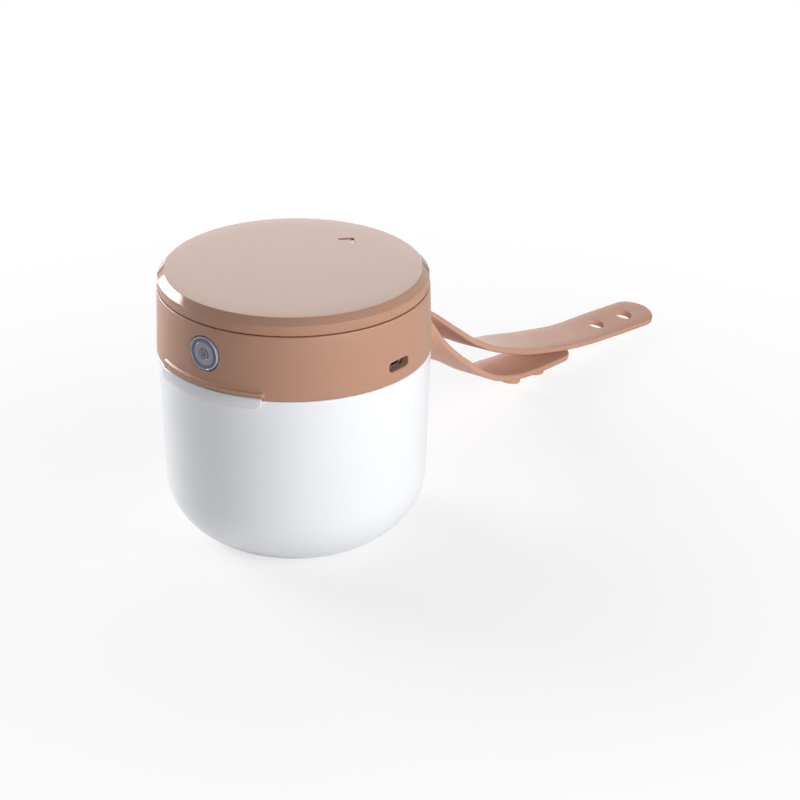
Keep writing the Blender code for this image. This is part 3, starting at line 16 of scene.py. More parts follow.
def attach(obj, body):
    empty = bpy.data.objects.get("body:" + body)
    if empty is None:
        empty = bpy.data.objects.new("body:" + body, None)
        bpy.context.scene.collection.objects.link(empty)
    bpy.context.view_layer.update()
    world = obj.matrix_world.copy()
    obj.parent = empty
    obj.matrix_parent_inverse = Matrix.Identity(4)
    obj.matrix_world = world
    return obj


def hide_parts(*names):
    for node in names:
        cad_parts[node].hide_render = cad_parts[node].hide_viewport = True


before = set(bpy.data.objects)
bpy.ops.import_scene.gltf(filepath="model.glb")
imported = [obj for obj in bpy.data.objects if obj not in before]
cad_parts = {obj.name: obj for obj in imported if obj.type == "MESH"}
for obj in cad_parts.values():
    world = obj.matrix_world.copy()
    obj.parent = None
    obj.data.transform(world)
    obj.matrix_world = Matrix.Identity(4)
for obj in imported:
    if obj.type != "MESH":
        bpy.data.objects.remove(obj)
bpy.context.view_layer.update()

# %% [markdown]
# ## Measures
#
# The shapes below are drawn in millimetres and scaled down once, when a mesh is finished. The seam between
# cup and head is the height that most others are measured from, and the outside of the band is the radius.

# %% Main measures, in millimetres
MM = 0.001
POD_RADIUS = 40.0
SEAM = 57.3
CUP_TOP = SEAM - 0.15
CUP_RADIUS = POD_RADIUS - 0.15
BAND_BOTTOM = SEAM + 0.15
BAND_TOP = SEAM + 19.55
COVER_BOTTOM = SEAM + 19.85
COVER_SHOULDER = SEAM + 22.76
COVER_TOP = COVER_SHOULDER + 2.0
HINGE_Y = POD_RADIUS + 3.2
HINGE_Z = SEAM + 1.0
LUG_Y = POD_RADIUS + 4.2
STRAP_Z = SEAM - 11.2
BUTTON_Z = SEAM + 11.1
PORT_Y = -1.0
PORT_Z = SEAM + 5.15
RING_STEPS = 180
print(f"case {2 * POD_RADIUS:.0f} mm across, {COVER_TOP:.1f} mm tall")

# %% [markdown]
# ## Camera
#
# The photograph was taken with a long lens from a little above. The azimuth and the elevation were found from
# the ellipses of the seams, and the distance from how much narrower the foot's ellipse is than the top's.

# %% Camera
CAMERA_AWAY = 1.04
CAMERA_RIGHT = 0.0308
CAMERA_DOWN = 0.01608
azimuth = math.radians(38.2)
elevation = math.radians(24.71)
ahead = Vector((
    -math.sin(azimuth) * math.cos(elevation),
    math.cos(azimuth) * math.cos(elevation),
    -math.sin(elevation),
))
right = Vector((math.cos(azimuth), math.sin(azimuth), 0))
up = right.cross(ahead)

lens = bpy.data.cameras.new("camera")
lens.lens = 160.6
lens.sensor_width = 36
lens.clip_start = 0.01
camera = bpy.data.objects.new("camera", lens)
bpy.context.scene.collection.objects.link(camera)
stand = Vector((0, 0, SEAM * MM)) - ahead * CAMERA_AWAY + right * CAMERA_RIGHT - up * CAMERA_DOWN
camera.matrix_world = Matrix.Translation(stand) @ Matrix((right, up, -ahead)).transposed().to_4x4()
bpy.context.scene.camera = camera
bpy.context.scene.view_settings.view_transform = "Standard"
print("camera at", [round(value, 3) for value in stand])

# %% [markdown]
# ## Light
#
# The photograph is a white tent. A wide soft lamp stands on the right. A narrower one on the left draws the
# bright rim down the cup's left side and the crisp light on the lid's chamfer. A weak one at the back left,
# opposite the camera, lays the pale sheen on the lid. The front has no lamp, so that the band and the cup
# turn darker between the two sides.

# %% Lamps
def soft_lamp(name, turn, rise, distance, width, height, power):
    """A soft box that looks at the middle of the case. Turn 0 is the front, 90 the right side."""
    glow = bpy.data.lights.new(name, "AREA")
    glow.shape = "RECTANGLE"
    glow.size = width
    glow.size_y = height
    glow.energy = power
    lamp = bpy.data.objects.new(name, glow)
    turn, rise = math.radians(turn), math.radians(rise)
    way = Vector((math.sin(turn) * math.cos(rise), -math.cos(turn) * math.cos(rise), math.sin(rise)))
    lamp.location = Vector((0, 0, 0.045)) + way * distance
    lamp.rotation_euler = (-way).to_track_quat("-Z", "Y").to_euler()
    lamp.visible_camera = False
    bpy.context.scene.collection.objects.link(lamp)
    return lamp


soft_lamp("right_soft_box", 87, 16, 0.9, 1.15, 0.5, 9.4)
soft_lamp("left_soft_box", -91, 16, 0.9, 0.52, 0.5, 10.8)
soft_lamp("back_left_soft_box", 218, 16, 0.9, 0.5, 0.5, 2.3)

# %% [markdown]
# ## Mesh helpers
#
# Nearly every piece of the case is round about one axis, so most of them are turned: one section drawn in
# radius and height, run round the axis. Real mouldings have no sharp corner, so `eased` puts a short arc in
# place of each corner of a section before it is turned, which is what catches the thin lines of light.

# %% Sections
def eased(corners, steps=4):
    """A closed section of (x, y, radius) corners, with an arc in place of each corner that has a radius."""
    points = []
    for index, (x, y, radius) in enumerate(corners):
        here = Vector((x, y))
        if radius <= 0:
            points.append(here)
            continue
        back = (Vector(corners[index - 1][:2]) - here).normalized()
        on = (Vector(corners[(index + 1) % len(corners)][:2]) - here).normalized()
        half = back.angle(on) / 2
        centre = here + (back + on).normalized() * radius / math.sin(half)
        first = here + back * radius / math.tan(half) - centre
        last = here + on * radius / math.tan(half) - centre
        turn = math.pi - 2 * half
        for step in range(steps + 1):
            share = step / steps
            arm = first * math.sin((1 - share) * turn) + last * math.sin(share * turn)
            points.append(centre + arm / math.sin(turn))
    return points


def spread(start, end, steps):
    """Even steps from start to end."""
    return [start + (end - start) * step / steps for step in range(steps + 1)]


def round_point(radius, angle, height):
    """A point at an angle in degrees from +X."""
    turn = math.radians(angle)
    return Vector((radius * math.cos(turn), radius * math.sin(turn), height))


# %% Solids from sections
def loft(rings, ends=True):
    """A skin through rings of points. Without ends the last ring joins the first."""
    shape = bmesh.new()
    rows = [[shape.verts.new(point) for point in ring] for ring in rings]
    pairs = list(zip(rows, rows[1:])) if ends else list(zip(rows, rows[1:] + rows[:1]))
    for lower, upper in pairs:
        for here in range(len(lower)):
            after = (here + 1) % len(lower)
            shape.faces.new((lower[here], lower[after], upper[after], upper[here]))
    if ends:
        shape.faces.new(rows[0])
        shape.faces.new(rows[-1])
    return shape


def turned(section, steps=RING_STEPS):
    """A section of (radius, height) points run round the Z axis. Points on the axis become one vertex."""
    shape = bmesh.new()
    rings = []
    for radius, height in section:
        count = steps if radius > 1e-6 else 1
        rings.append([shape.verts.new(round_point(radius, 360 * k / steps, height)) for k in range(count)])
    for first, second in zip(rings, rings[1:] + rings[:1]):
        if len(first) == len(second) == 1:
            continue
        for here in range(steps):
            after = (here + 1) % steps
            corners = (
                first[here % len(first)],
                first[after % len(first)],
                second[after % len(second)],
                second[here % len(second)],
            )
            shape.faces.new(tuple(dict.fromkeys(corners)))
    return shape


def facing(place, way):
    """Moves a shape to a place and turns its Z axis along a direction."""
    return Matrix.Translation(place) @ way.to_track_quat("Z", "Y").to_matrix().to_4x4()


def rod(start, end, radius, edge=0.0, steps=32):
    """A round bar with eased ends."""
    start = Vector(start)
    axis = Vector(end) - start
    section = eased([(0, 0, 0), (radius, 0, edge), (radius, axis.length, edge), (0, axis.length, 0)])
    shape = turned(section, steps)
    shape.transform(facing(start, axis))
    return shape


def block(low, high, edge=0.15, steps=2):
    """A box between two corners, with its edges rounded."""
    shape = bmesh.new()
    size = Vector(high) - Vector(low)
    place = Matrix.Translation((Vector(high) + Vector(low)) / 2)
    bmesh.ops.create_cube(shape, size=1.0, matrix=place @ Matrix.Diagonal((*size, 1.0)))
    if edge > 0:
        bmesh.ops.bevel(
            shape, geom=list(shape.edges), offset=edge, segments=steps, profile=0.5, affect="EDGES")
    return shape


# %% [markdown]
# A finished shape becomes an object, is scaled to metres, takes its finish and is hung on the body it moves
# with. Openings are cut with Boolean modifiers, which are then made part of the mesh, so that what the other
# helpers see is the plain mesh.

# %% From shape to piece
def to_object(name, shape):
    """A bmesh in millimetres as an object in metres, with its faces turned outward."""
    shape.normal_update()
    bmesh.ops.recalc_face_normals(shape, faces=shape.faces)
    shape.transform(Matrix.Scale(MM, 4))
    mesh = bpy.data.meshes.new(name)
    shape.to_mesh(mesh)
    shape.free()
    item = bpy.data.objects.new(name, mesh)
    bpy.context.scene.collection.objects.link(item)
    return item


def turned_piece(name, corners, steps=RING_STEPS):
    """An object turned from a section of (radius, height, rounding) corners."""
    return to_object(name, turned(eased(corners), steps))


def plain(points):
    """Points of a section as corners that stay sharp."""
    return [(radius, height, 0) for radius, height in points]


def carve(item, shape, operation="DIFFERENCE"):
    """Cuts a shape out of an object, or adds it with UNION, and keeps only the result."""
    tool = to_object("tool", shape)
    step = item.modifiers.new("step", "BOOLEAN")
    step.operation = operation
    step.solver = "EXACT"
    step.object = tool
    ready = item.evaluated_get(bpy.context.evaluated_depsgraph_get())
    item.modifiers.clear()
    old = item.data
    item.data = bpy.data.meshes.new_from_object(ready)
    item.data.name = item.name
    bpy.data.meshes.remove(old)
    bpy.data.objects.remove(tool, do_unlink=True)


def hang(item, finish, slot, body, *nodes, sharp=32):
    """Gives a piece its finish, hides the imported nodes it stands for and hangs it on its body."""
    item.data.shade_smooth()
    item.data.set_sharp_from_angle(angle=math.radians(sharp))
    item.data.materials.clear()
    item.data.materials.append(finish)
    if nodes:
        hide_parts(*nodes)
    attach(item, body)
    print(f"{item.name}: {len(item.data.polygons)} faces on {body}")
    return item


# %% [markdown]
# ## Finishes
#
# Each finish is a Principled shader fed by a few shared effects. The effects are node groups, built once:
# the grain, mottling and smudges of a moulded surface, the paler worn edge, the rim that the tool polished
# brighter, loose dust on silicone, and the fine lines of drawn or turned metal.

# %% Helpers for nodes
def fill(tree, socket, value):
    """Joins an input to another node's socket, or sets its colour or number."""
    if isinstance(value, bpy.types.NodeSocket):
        tree.links.new(value, socket)
    else:
        socket.default_value = (*value, 1) if isinstance(value, tuple) else value


def feed(tree, node, **inputs):
    """Fills a node's inputs, named with _ in place of a space."""
    for label, value in inputs.items():
        fill(tree, node.inputs[label.replace("_", " ")], value)
    return node


def add_node(tree, kind, **inputs):
    """A new shader node with its inputs filled."""
    return feed(tree, tree.nodes.new("ShaderNode" + kind), **inputs)


def maths(tree, operation, *values, clamp=False):
    """The result of one Math node. Its inputs are sockets or plain numbers."""
    node = tree.nodes.new("ShaderNodeMath")
    node.operation = operation
    node.use_clamp = clamp
    for socket, value in zip(node.inputs, values):
        fill(tree, socket, value)
    return node.outputs[0]


def own_place(tree):
    """The place on the piece, in its own coordinates."""
    return tree.nodes.new("ShaderNodeTexCoord").outputs["Object"]


def own_axes(tree):
    """The X, Y and Z of the place on the piece."""
    return add_node(tree, "SeparateXYZ", Vector=own_place(tree)).outputs


def distance(tree, first, second):
    """The root of the sum of two squares."""
    squares = [maths(tree, "MULTIPLY", side, side) for side in (first, second)]
    return maths(tree, "SQRT", maths(tree, "ADD", *squares))


def noise(tree, place, scale, detail=2.0, roughness=0.5):
    """A noise texture's value."""
    node = add_node(tree, "TexNoise", Vector=place, Scale=scale, Detail=detail, Roughness=roughness)
    return node.outputs["Fac"]


def ramp(tree, value, low, high, to_low=0.0, to_high=1.0):
    """Maps low..high to to_low..to_high, held at both ends."""
    node = add_node(tree, "MapRange", Value=value, From_Min=low, From_Max=high, To_Min=to_low, To_Max=to_high)
    return node.outputs["Result"]


def blend_colour(tree, share, first, second):
    """Mixes two colours by a share."""
    node = tree.nodes.new("ShaderNodeMix")
    node.data_type = "RGBA"
    fill(tree, node.inputs["Factor"], share)
    for socket, value in zip([s for s in node.inputs if s.type == "RGBA"], (first, second)):
        fill(tree, socket, value)
    return next(s for s in node.outputs if s.type == "RGBA")


def show_mix(tree, share, first, second, kind):
    """Mixes two shaders by a share and joins them to a new output node, World or Material."""
    mix = tree.nodes.new("ShaderNodeMixShader")
    for socket, value in zip(mix.inputs, (share, first.outputs[0], second.outputs[0])):
        fill(tree, socket, value)
    add_node(tree, "Output" + kind, Surface=mix.outputs[0])


# %% [markdown]
# The world lights the case very little, since the lamps do that, but it shows as plain white: to the camera,
# in mirrored light and through clear pieces.

# %% World
world = bpy.data.worlds.new("white_tent")
bpy.context.scene.world = world
world.use_nodes = True
tree = world.node_tree
tree.nodes.clear()
seen = tree.nodes.new("ShaderNodeLightPath").outputs
plain_white = maths(tree, "MAXIMUM", seen["Is Camera Ray"], seen["Is Glossy Ray"])
plain_white = maths(tree, "MAXIMUM", plain_white, seen["Is Transmission Ray"])
lit = add_node(tree, "Background", Color=(0.96, 0.98, 1.0), Strength=0.03)
white = add_node(tree, "Background", Color=(1, 1, 1), Strength=1.0)
show_mix(tree, plain_white, lit, white, "World")
print("world:", world.name)


# %% Effect groups
def effect(name, outputs, **inputs):
    """A shader node group. Inputs are given by their start values: a colour, a number, or None for a vector.

    Returns the group's tree, the sockets of its inputs and its output node."""
    group = bpy.data.node_groups.new(name, "ShaderNodeTree")
    for label, start in inputs.items():
        kind = "Vector" if start is None else "Color" if isinstance(start, tuple) else "Float"
        socket = group.interface.new_socket(
            name=label.replace("_", " "), in_out="INPUT", socket_type="NodeSocket" + kind)
        if start is not None:
            socket.default_value = start
    for label in outputs:
        kind = "Color" if label == "Colour" else "Float"
        group.interface.new_socket(name=label, in_out="OUTPUT", socket_type="NodeSocket" + kind)
    print("effect:", name)
    return group, group.nodes.new("NodeGroupInput").outputs, group.nodes.new("NodeGroupOutput")


def swing(tree, value, amount):
    """Moves a value's middle from a half to zero and scales it by an amount."""
    return maths(tree, "MULTIPLY", maths(tree, "SUBTRACT", value, 0.5), amount)


# %% Moulded surface: grain, mottling and uneven gloss
moulded, given, result = effect(
    "moulded_surface", ["Colour", "Roughness", "Height"],
    Colour=(0.8, 0.8, 0.8, 1), Gloss=0.4, Grain_Size=0.0003, Mottle=0.04, Smudge=0.04)
place = own_place(moulded)
fine = noise(moulded, place, maths(moulded, "DIVIDE", 1.0, given["Grain Size"]))
speck = swing(moulded, fine, given["Mottle"])
broad = swing(moulded, noise(moulded, place, 70.0, 3.0), given["Mottle"])
patch = maths(moulded, "MULTIPLY", broad, 2.0)
scaled = moulded.nodes.new("ShaderNodeVectorMath")
scaled.operation = "SCALE"
level = maths(moulded, "ADD", 1.0, maths(moulded, "ADD", patch, speck))
feed(moulded, scaled, Vector=given["Colour"], Scale=level)
smudge = swing(moulded, noise(moulded, place, 160.0), given["Smudge"])
gloss = maths(moulded, "ADD", given["Gloss"], smudge, clamp=True)
feed(moulded, result, Colour=scaled.outputs[0], Roughness=gloss, Height=fine)

# %% Worn edge: a broken paler line where the mesh turns outward
worn, given, result = effect("worn_edge", ["Mask"], Wear=0.5)
edge = ramp(worn, worn.nodes.new("ShaderNodeNewGeometry").outputs["Pointiness"], 0.60, 0.72)
broken = ramp(worn, noise(worn, own_place(worn), 900.0, 3.0, 0.6), 0.4, 0.65)
mask = maths(worn, "MULTIPLY", maths(worn, "MULTIPLY", edge, broken), given["Wear"], clamp=True)
feed(worn, result, Mask=mask)

# %% Polished rim: the band of height that the tool polished brighter
polish, given, result = effect("polished_rim", ["Mask"], Bottom=0.0, Top=0.1)
height = own_axes(polish)["Z"]
above = maths(polish, "GREATER_THAN", height, given["Bottom"])
below = maths(polish, "LESS_THAN", height, given["Top"])
feed(polish, result, Mask=maths(polish, "MULTIPLY", above, below))

# %% Loose dust: sparse pale specks that silicone picks up
dust, given, result = effect("loose_dust", ["Mask"], Amount=0.3)
place = own_place(dust)
cells = add_node(dust, "TexVoronoi", Vector=place, Scale=620.0)
dots = ramp(dust, cells.outputs["Distance"], 0.07, 0.16, 1.0, 0.0)
patch = ramp(dust, noise(dust, place, 90.0), 0.52, 0.68)
mask = maths(dust, "MULTIPLY", maths(dust, "MULTIPLY", dots, patch), given["Amount"], clamp=True)
feed(dust, result, Mask=mask)

# %% Metal lines: noise drawn out along one direction
lines, given, result = effect("metal_lines", ["Roughness", "Height", "Shade"], Place=None, Gloss=0.25)
streak = noise(lines, given["Place"], 1.0, 3.0, 0.6)
rough = maths(lines, "ADD", given["Gloss"], ramp(lines, streak, 0.3, 0.7, -0.05, 0.08))
feed(lines, result, Roughness=rough, Height=streak, Shade=ramp(lines, streak, 0.3, 0.7, 0.88, 1.0))


# %% [markdown]
# The finishes themselves. A helper starts each one, places the effects that it needs and joins them to the
# shader. Numbers that are the same all over a piece sit on the shader's own sockets.

# %% Helpers for finishes
POLISH = 0.72


def linear(red, green, blue):
    """A colour picked on a screen, 0 to 255, as the linear values that a shader takes."""
    return tuple(((v / 255 + 0.055) / 1.055) ** 2.4 if v > 10 else v / 3294 for v in (red, green, blue))


def new_finish(name, metallic=0.0, transmission=0.0, ior=1.5, roughness=0.4):
    """A material with one Principled shader and its plain values."""
    finish = bpy.data.materials.new(name)
    finish.use_nodes = True
    tree = finish.node_tree
    shader = tree.nodes["Principled BSDF"]
    feed(tree, shader, Metallic=metallic, Transmission_Weight=transmission, IOR=ior, Roughness=roughness)
    return finish, tree, shader


def add_effect(tree, group, **inputs):
    """Places an effect group and fills its inputs."""
    node = tree.nodes.new("ShaderNodeGroup")
    node.node_tree = group
    return feed(tree, node, **inputs)


def add_bump(tree, shader, height, depth, strength=0.5):
    """Joins a height to the shader's Normal. depth is in metres."""
    bump = add_node(tree, "Bump", Height=height, Distance=depth, Strength=strength)
    feed(tree, shader, Normal=bump.outputs["Normal"])


def moulded_finish(name, colour, gloss, grain=0.0003, depth=0.00001, mottle=0.04, wear=0.3, dusty=0.0,
                   smudge=0.1, polished=None):
    """A moulded plastic or silicone: grain and mottling, a paler worn edge and, if asked, loose dust.

    grain is the width of the grain and depth its height, in metres. polished gives the heights in
    millimetres, bottom and top, between which the surface is nearly glossy."""
    finish, tree, shader = new_finish(name)
    surface = add_effect(
        tree, moulded, Colour=colour, Gloss=gloss, Grain_Size=grain, Mottle=mottle, Smudge=smudge)
    pale = tuple(value + (1 - value) * 0.35 for value in colour)
    edge = add_effect(tree, worn, Wear=wear)
    shown = blend_colour(tree, edge.outputs["Mask"], surface.outputs["Colour"], pale)
    if dusty > 0:
        specks = add_effect(tree, dust, Amount=dusty)
        shown = blend_colour(tree, specks.outputs["Mask"], shown, (0.85, 0.84, 0.82))
    rough = surface.outputs["Roughness"]
    if polished:
        rim = add_effect(tree, polish, Bottom=polished[0] * MM, Top=polished[1] * MM)
        kept = maths(tree, "SUBTRACT", 1.0, maths(tree, "MULTIPLY", rim.outputs["Mask"], POLISH))
        rough = maths(tree, "MULTIPLY", rough, kept)
    feed(tree, shader, Base_Color=shown, Roughness=rough)
    add_bump(tree, shader, surface.outputs["Height"], depth)
    return finish


# %% Plastics and silicones
white_plastic = moulded_finish(
    "white_plastic", linear(234, 236, 239), 0.3, 0.0005, 0.000004, 0.008, 0.0, smudge=0.02)
terracotta_plastic = moulded_finish(
    "terracotta_plastic", linear(178, 134, 111), 0.37, 0.00022, 0.00001, 0.012, 0.3, smudge=0.03)
lid_plastic = moulded_finish(
    "lid_plastic", linear(176, 132, 108), 0.37, 0.00022, 0.00001, 0.012, 0.0, smudge=0.03,
    polished=(COVER_SHOULDER + 0.1, COVER_TOP - 0.04))
terracotta_silicone = moulded_finish(
    "terracotta_silicone", linear(192, 145, 123), 0.5, 0.0003, 0.00001, 0.03, 0.1, dusty=0.35)
grey_rubber = moulded_finish(
    "grey_rubber", linear(150, 152, 155), 0.62, 0.0004, 0.00002, 0.06, 0.1, dusty=0.3)
seal_rubber = moulded_finish(
    "seal_rubber", linear(205, 206, 205), 0.5, 0.0004, 0.00001, 0.04, 0.1, dusty=0.2)
black_plastic = moulded_finish("black_plastic", linear(30, 30, 32), 0.45, 0.00025, 0.00001, 0.15, 0.3)
dark_plastic = moulded_finish("dark_plastic", linear(62, 62, 66), 0.5, 0.00025, 0.00002, 0.1, 0.3)
cream_plastic = moulded_finish("cream_plastic", linear(232, 226, 208), 0.4, 0.0003, 0.00001, 0.04, 0.2)
red_insulation = moulded_finish("red_insulation", linear(176, 28, 24), 0.4, 0.0004, 0.00001, 0.05, 0.1)
black_insulation = moulded_finish("black_insulation", linear(24, 24, 26), 0.4, 0.0004, 0.00001, 0.1, 0.1)
black_foam = moulded_finish("black_foam", linear(38, 38, 40), 0.9, 0.0007, 0.0003, 0.4, 0.0)
print("moulded finishes:", len(bpy.data.materials))


# %% [markdown]
# Metal is drawn or turned, so its lines run one way. The place that the lines are read from is squeezed
# across them: by radius and height for a turned piece, and by two of the three axes for a drawn one.

# %% Metals
LINES_PER_METRE = 3000.0


def drawn_place(tree, stretch):
    """Object coordinates scaled per axis, so that noise is drawn out along the axis with the least scale."""
    scaled = tree.nodes.new("ShaderNodeVectorMath")
    scaled.operation = "MULTIPLY"
    scaled.inputs[1].default_value = stretch
    return feed(tree, scaled, Vector=own_place(tree)).outputs[0]


def turned_place(tree):
    """Distance from the Z axis and height, so that the lines run round the piece."""
    axes = own_axes(tree)
    radius = maths(tree, "MULTIPLY", distance(tree, axes["X"], axes["Y"]), LINES_PER_METRE)
    height = maths(tree, "MULTIPLY", axes["Z"], LINES_PER_METRE)
    return add_node(tree, "CombineXYZ", X=radius, Z=height).outputs[0]


def metal_finish(name, colour, gloss, stretch=None):
    """A metal with fine lines along stretch's least axis, or round the Z axis where stretch is None."""
    finish, tree, shader = new_finish(name, metallic=1.0)
    way = turned_place(tree) if stretch is None else drawn_place(tree, stretch)
    grain = add_effect(tree, lines, Gloss=gloss, Place=way)
    dim = tuple(value * 0.75 for value in colour)
    shown = blend_colour(tree, grain.outputs["Shade"], dim, colour)
    feed(tree, shader, Base_Color=shown, Roughness=grain.outputs["Roughness"])
    add_bump(tree, shader, grain.outputs["Height"], 0.000004, 0.4)
    return finish


liner_metal = metal_finish("liner_metal", (0.82, 0.83, 0.85), 0.22)
bright_metal = metal_finish("bright_metal", (0.88, 0.89, 0.90), 0.08)
steel = metal_finish("steel", (0.66, 0.66, 0.67), 0.28, (300, 4000, 4000))
nickel = metal_finish("nickel", (0.68, 0.67, 0.64), 0.3, (2500, 2500, 2500))
# Painted shade: the port shell is nickel, but its colour is darkened to stand for the shade inside the slot.
port_metal_painted_shade = metal_finish("port_metal_painted_shade", (0.16, 0.15, 0.14), 0.45, (4000, 400, 4000))
battery_foil = metal_finish("battery_foil", (0.60, 0.61, 0.64), 0.38, (500, 2500, 2500))
print("metal finishes made")


# %% Clear finishes
def clear_finish(name, colour, transmission, ior, gloss, grain, mottle, depth, strength):
    """A clear plastic or glass with a faint waviness."""
    finish, tree, shader = new_finish(name, transmission=transmission, ior=ior, roughness=gloss)
    surface = add_effect(tree, moulded, Colour=colour, Gloss=gloss, Grain_Size=grain, Mottle=mottle)
    feed(tree, shader, Base_Color=surface.outputs["Colour"])
    add_bump(tree, shader, surface.outputs["Height"], depth, strength)
    return finish


clear_plastic = clear_finish(
    "clear_plastic", linear(247, 247, 252), 0.3, 1.49, 0.16, 0.0012, 0.02, 0.00001, 0.3)
window_glass = clear_finish(
    "window_glass", (0.97, 0.985, 1.0), 1.0, 1.46, 0.02, 0.003, 0.01, 0.000004, 0.2)

# %% [markdown]
# The button's cap is frosted. Its rings of colour go by the distance from its centre: the dish with the
# raised mark, a pale ring, the groove darkened as painted shade and the rim lightened as a painted highlight.

# %% Button finish
MARK_DEPTHS = (-0.03978, -0.03986)
BUTTON_TONES_AND_PAINTED_LIGHT = (
    (0.0017, 0.0021, linear(152, 152, 168)),
    # painted shade: this ring darkens the groove, where shade falls
    (0.0032, 0.0038, linear(104, 108, 132)),
    # painted highlight: this ring lightens the rim, where the light catches its edge
    (0.0045, 0.0048, linear(172, 174, 188)),
)
button_plastic, tree, shader = new_finish("button_plastic")
surface = add_effect(tree, moulded, Colour=(1, 1, 1), Gloss=0.2, Grain_Size=0.0004, Mottle=0.02)
axes = own_axes(tree)
reach = distance(tree, axes["X"], maths(tree, "SUBTRACT", axes["Z"], BUTTON_Z * MM))
on_mark = ramp(tree, axes["Y"], *MARK_DEPTHS)
shown = blend_colour(tree, on_mark, linear(104, 104, 112), linear(150, 151, 158))
for start, end, colour in BUTTON_TONES_AND_PAINTED_LIGHT:
    shown = blend_colour(tree, ramp(tree, reach, start, end), shown, colour)
feed(tree, shader, Base_Color=shown, Roughness=surface.outputs["Roughness"])
add_bump(tree, shader, surface.outputs["Height"], 0.00001)
print("clear finishes made")


# %% Boards: solder mask with copper tracks under it
def board_finish(name, mask_colour, track_colour):
    finish, tree, shader = new_finish(name)
    place = own_place(tree)
    tracks = add_node(
        tree, "TexBrick", Vector=place, Scale=260.0, Mortar_Size=0.05,
        Color1=(0, 0, 0), Color2=(0.15, 0.15, 0.15), Mortar=(1, 1, 1))
    shown = blend_colour(tree, tracks.outputs["Color"], mask_colour, track_colour)
    gloss = ramp(tree, noise(tree, place, 300.0), 0.3, 0.7, 0.3, 0.42)
    feed(tree, shader, Base_Color=shown, Roughness=gloss)
    add_bump(tree, shader, tracks.outputs["Fac"], 0.00003, 0.4)
    return finish


green_board = board_finish("green_board", linear(18, 82, 48), linear(70, 132, 70))
lamp_board = board_finish("lamp_board", linear(226, 228, 222), linear(204, 204, 190))
lamp_body = moulded_finish("lamp_body", linear(226, 214, 150), 0.2, 0.0003, 0.00001, 0.05, 0.2)
print("finishes in all:", len(bpy.data.materials))

# %% [markdown]
# ## Cup
#
# The cup is one white moulding: a wall with a little draft, a large rounded corner, a flat foot with a recess
# for the pad, and a rebate in the mouth for the liner and the clear ring. It is turned from one section.

# %% Cup section
DRAFT = 0.0375
WALL = 2.2
MOUTH = 38.45
REBATE = 53.6
CORNER_TOP = 19.6
CORNER_REACH = 23.9
CORNER_DEPTH = 21.5


def wall_radius(height):
    return CUP_RADIUS - DRAFT * (CUP_TOP - height)


CORNER_CENTRE = wall_radius(CORNER_TOP) - CORNER_REACH


def corner(inset, bottom, steps=26):
    """The rounded corner from the wall down to a flat bottom, as (radius, height) points."""
    reach, depth = CORNER_REACH - inset, CORNER_DEPTH - inset
    turns = spread(0, math.asin((CORNER_TOP - bottom) / depth), steps)
    return [(CORNER_CENTRE + reach * math.cos(t), CORNER_TOP - depth * math.sin(t)) for t in turns]


def wall(inset, top, steps=10):
    """Points down the drafted wall, so that its rings are evenly spaced."""
    return [(wall_radius(z) - inset, z) for z in spread(top, CORNER_TOP, steps)][:-1]


section = [(MOUTH, CUP_TOP, 0.3), (CUP_RADIUS, CUP_TOP, 0.45)]
section += plain(wall(0, CUP_TOP - 1.0) + corner(0, 0.4))
section += [(22.3, 0.4, 0.25), (22.3, 1.6, 0), (0, 1.6, 0), (0, 3.4, 0)]
section += plain(reversed(corner(WALL, 3.4)))
section += [(wall_radius(REBATE) - WALL, REBATE, 0.2), (MOUTH, REBATE, 0.15)]
cup = turned_piece("cup_body", section)
print("cup wall", round(wall_radius(40), 2), "mm radius at 40 mm")


# %% [markdown]
# Behind the cup stand two hinge knuckles on short webs, and under them two ears for the strap's pin. They are
# drawn as eased blocks that sink a little into the wall, joined on, and then bored.

# %% Knuckles, ears and bores
EAR_BOTTOMS = (36.7, 53.5)
EAR_RADIUS = 3.0
EAR_ROOT = 38.9


def web(inner, outer, bottom, top, start, end, edge=0.4, steps=8):
    """A block that follows the round wall between two angles."""
    section = eased([(inner, bottom, 0), (outer, bottom, edge), (outer, top, edge), (inner, top, 0)])
    return loft([[round_point(r, angle, z) for r, z in section] for angle in spread(start, end, steps)])


def on_hinge(start, end, radius=2.3, edge=0.3, steps=36):
    """A round bar on the hinge's axis. As it stands it is a knuckle."""
    return rod((start, HINGE_Y, HINGE_Z), (end, HINGE_Y, HINGE_Z), radius, edge, steps)


def hinge_bore():
    return on_hinge(-14, 14, 1.3, 0, 33)


def ear(bottom, thickness=2.0, edge=0.35):
    """A flat ear with a round end, which holds the strap's pin."""
    rings = []
    layers = [(edge * (1 - math.sin(t)), edge * (1 - math.cos(t))) for t in spread(0, math.pi / 2, 4)]
    heights = [(inset, bottom + rise) for inset, rise in layers]
    heights += [(inset, bottom + thickness - rise) for inset, rise in reversed(layers)]
    for inset, height in heights:
        radius = EAR_RADIUS - inset
        ring = [Vector((radius, EAR_ROOT, height))]
        for turn in spread(0, math.pi, 24):
            ring.append(Vector((radius * math.cos(turn), LUG_Y + radius * math.sin(turn), height)))
        ring.append(Vector((-radius, EAR_ROOT, height)))
        rings.append(ring)
    return loft(rings)


for side in (-1, 1):
    ends = sorted((90 - side * 9.1, 90 - side * 17.6))
    carve(cup, web(39.05, 44.0, 53.65, 57.15, *ends), "UNION")
    carve(cup, on_hinge(side * 6.3, side * 12.3), "UNION")
for bottom in EAR_BOTTOMS:
    carve(cup, ear(bottom), "UNION")
carve(cup, hinge_bore())
carve(cup, rod((0, LUG_Y, 30), (0, LUG_Y, 56.3), 1.8, 0, 33))
hang(cup, white_plastic, "white_plastic", "cup", "cup_shell")

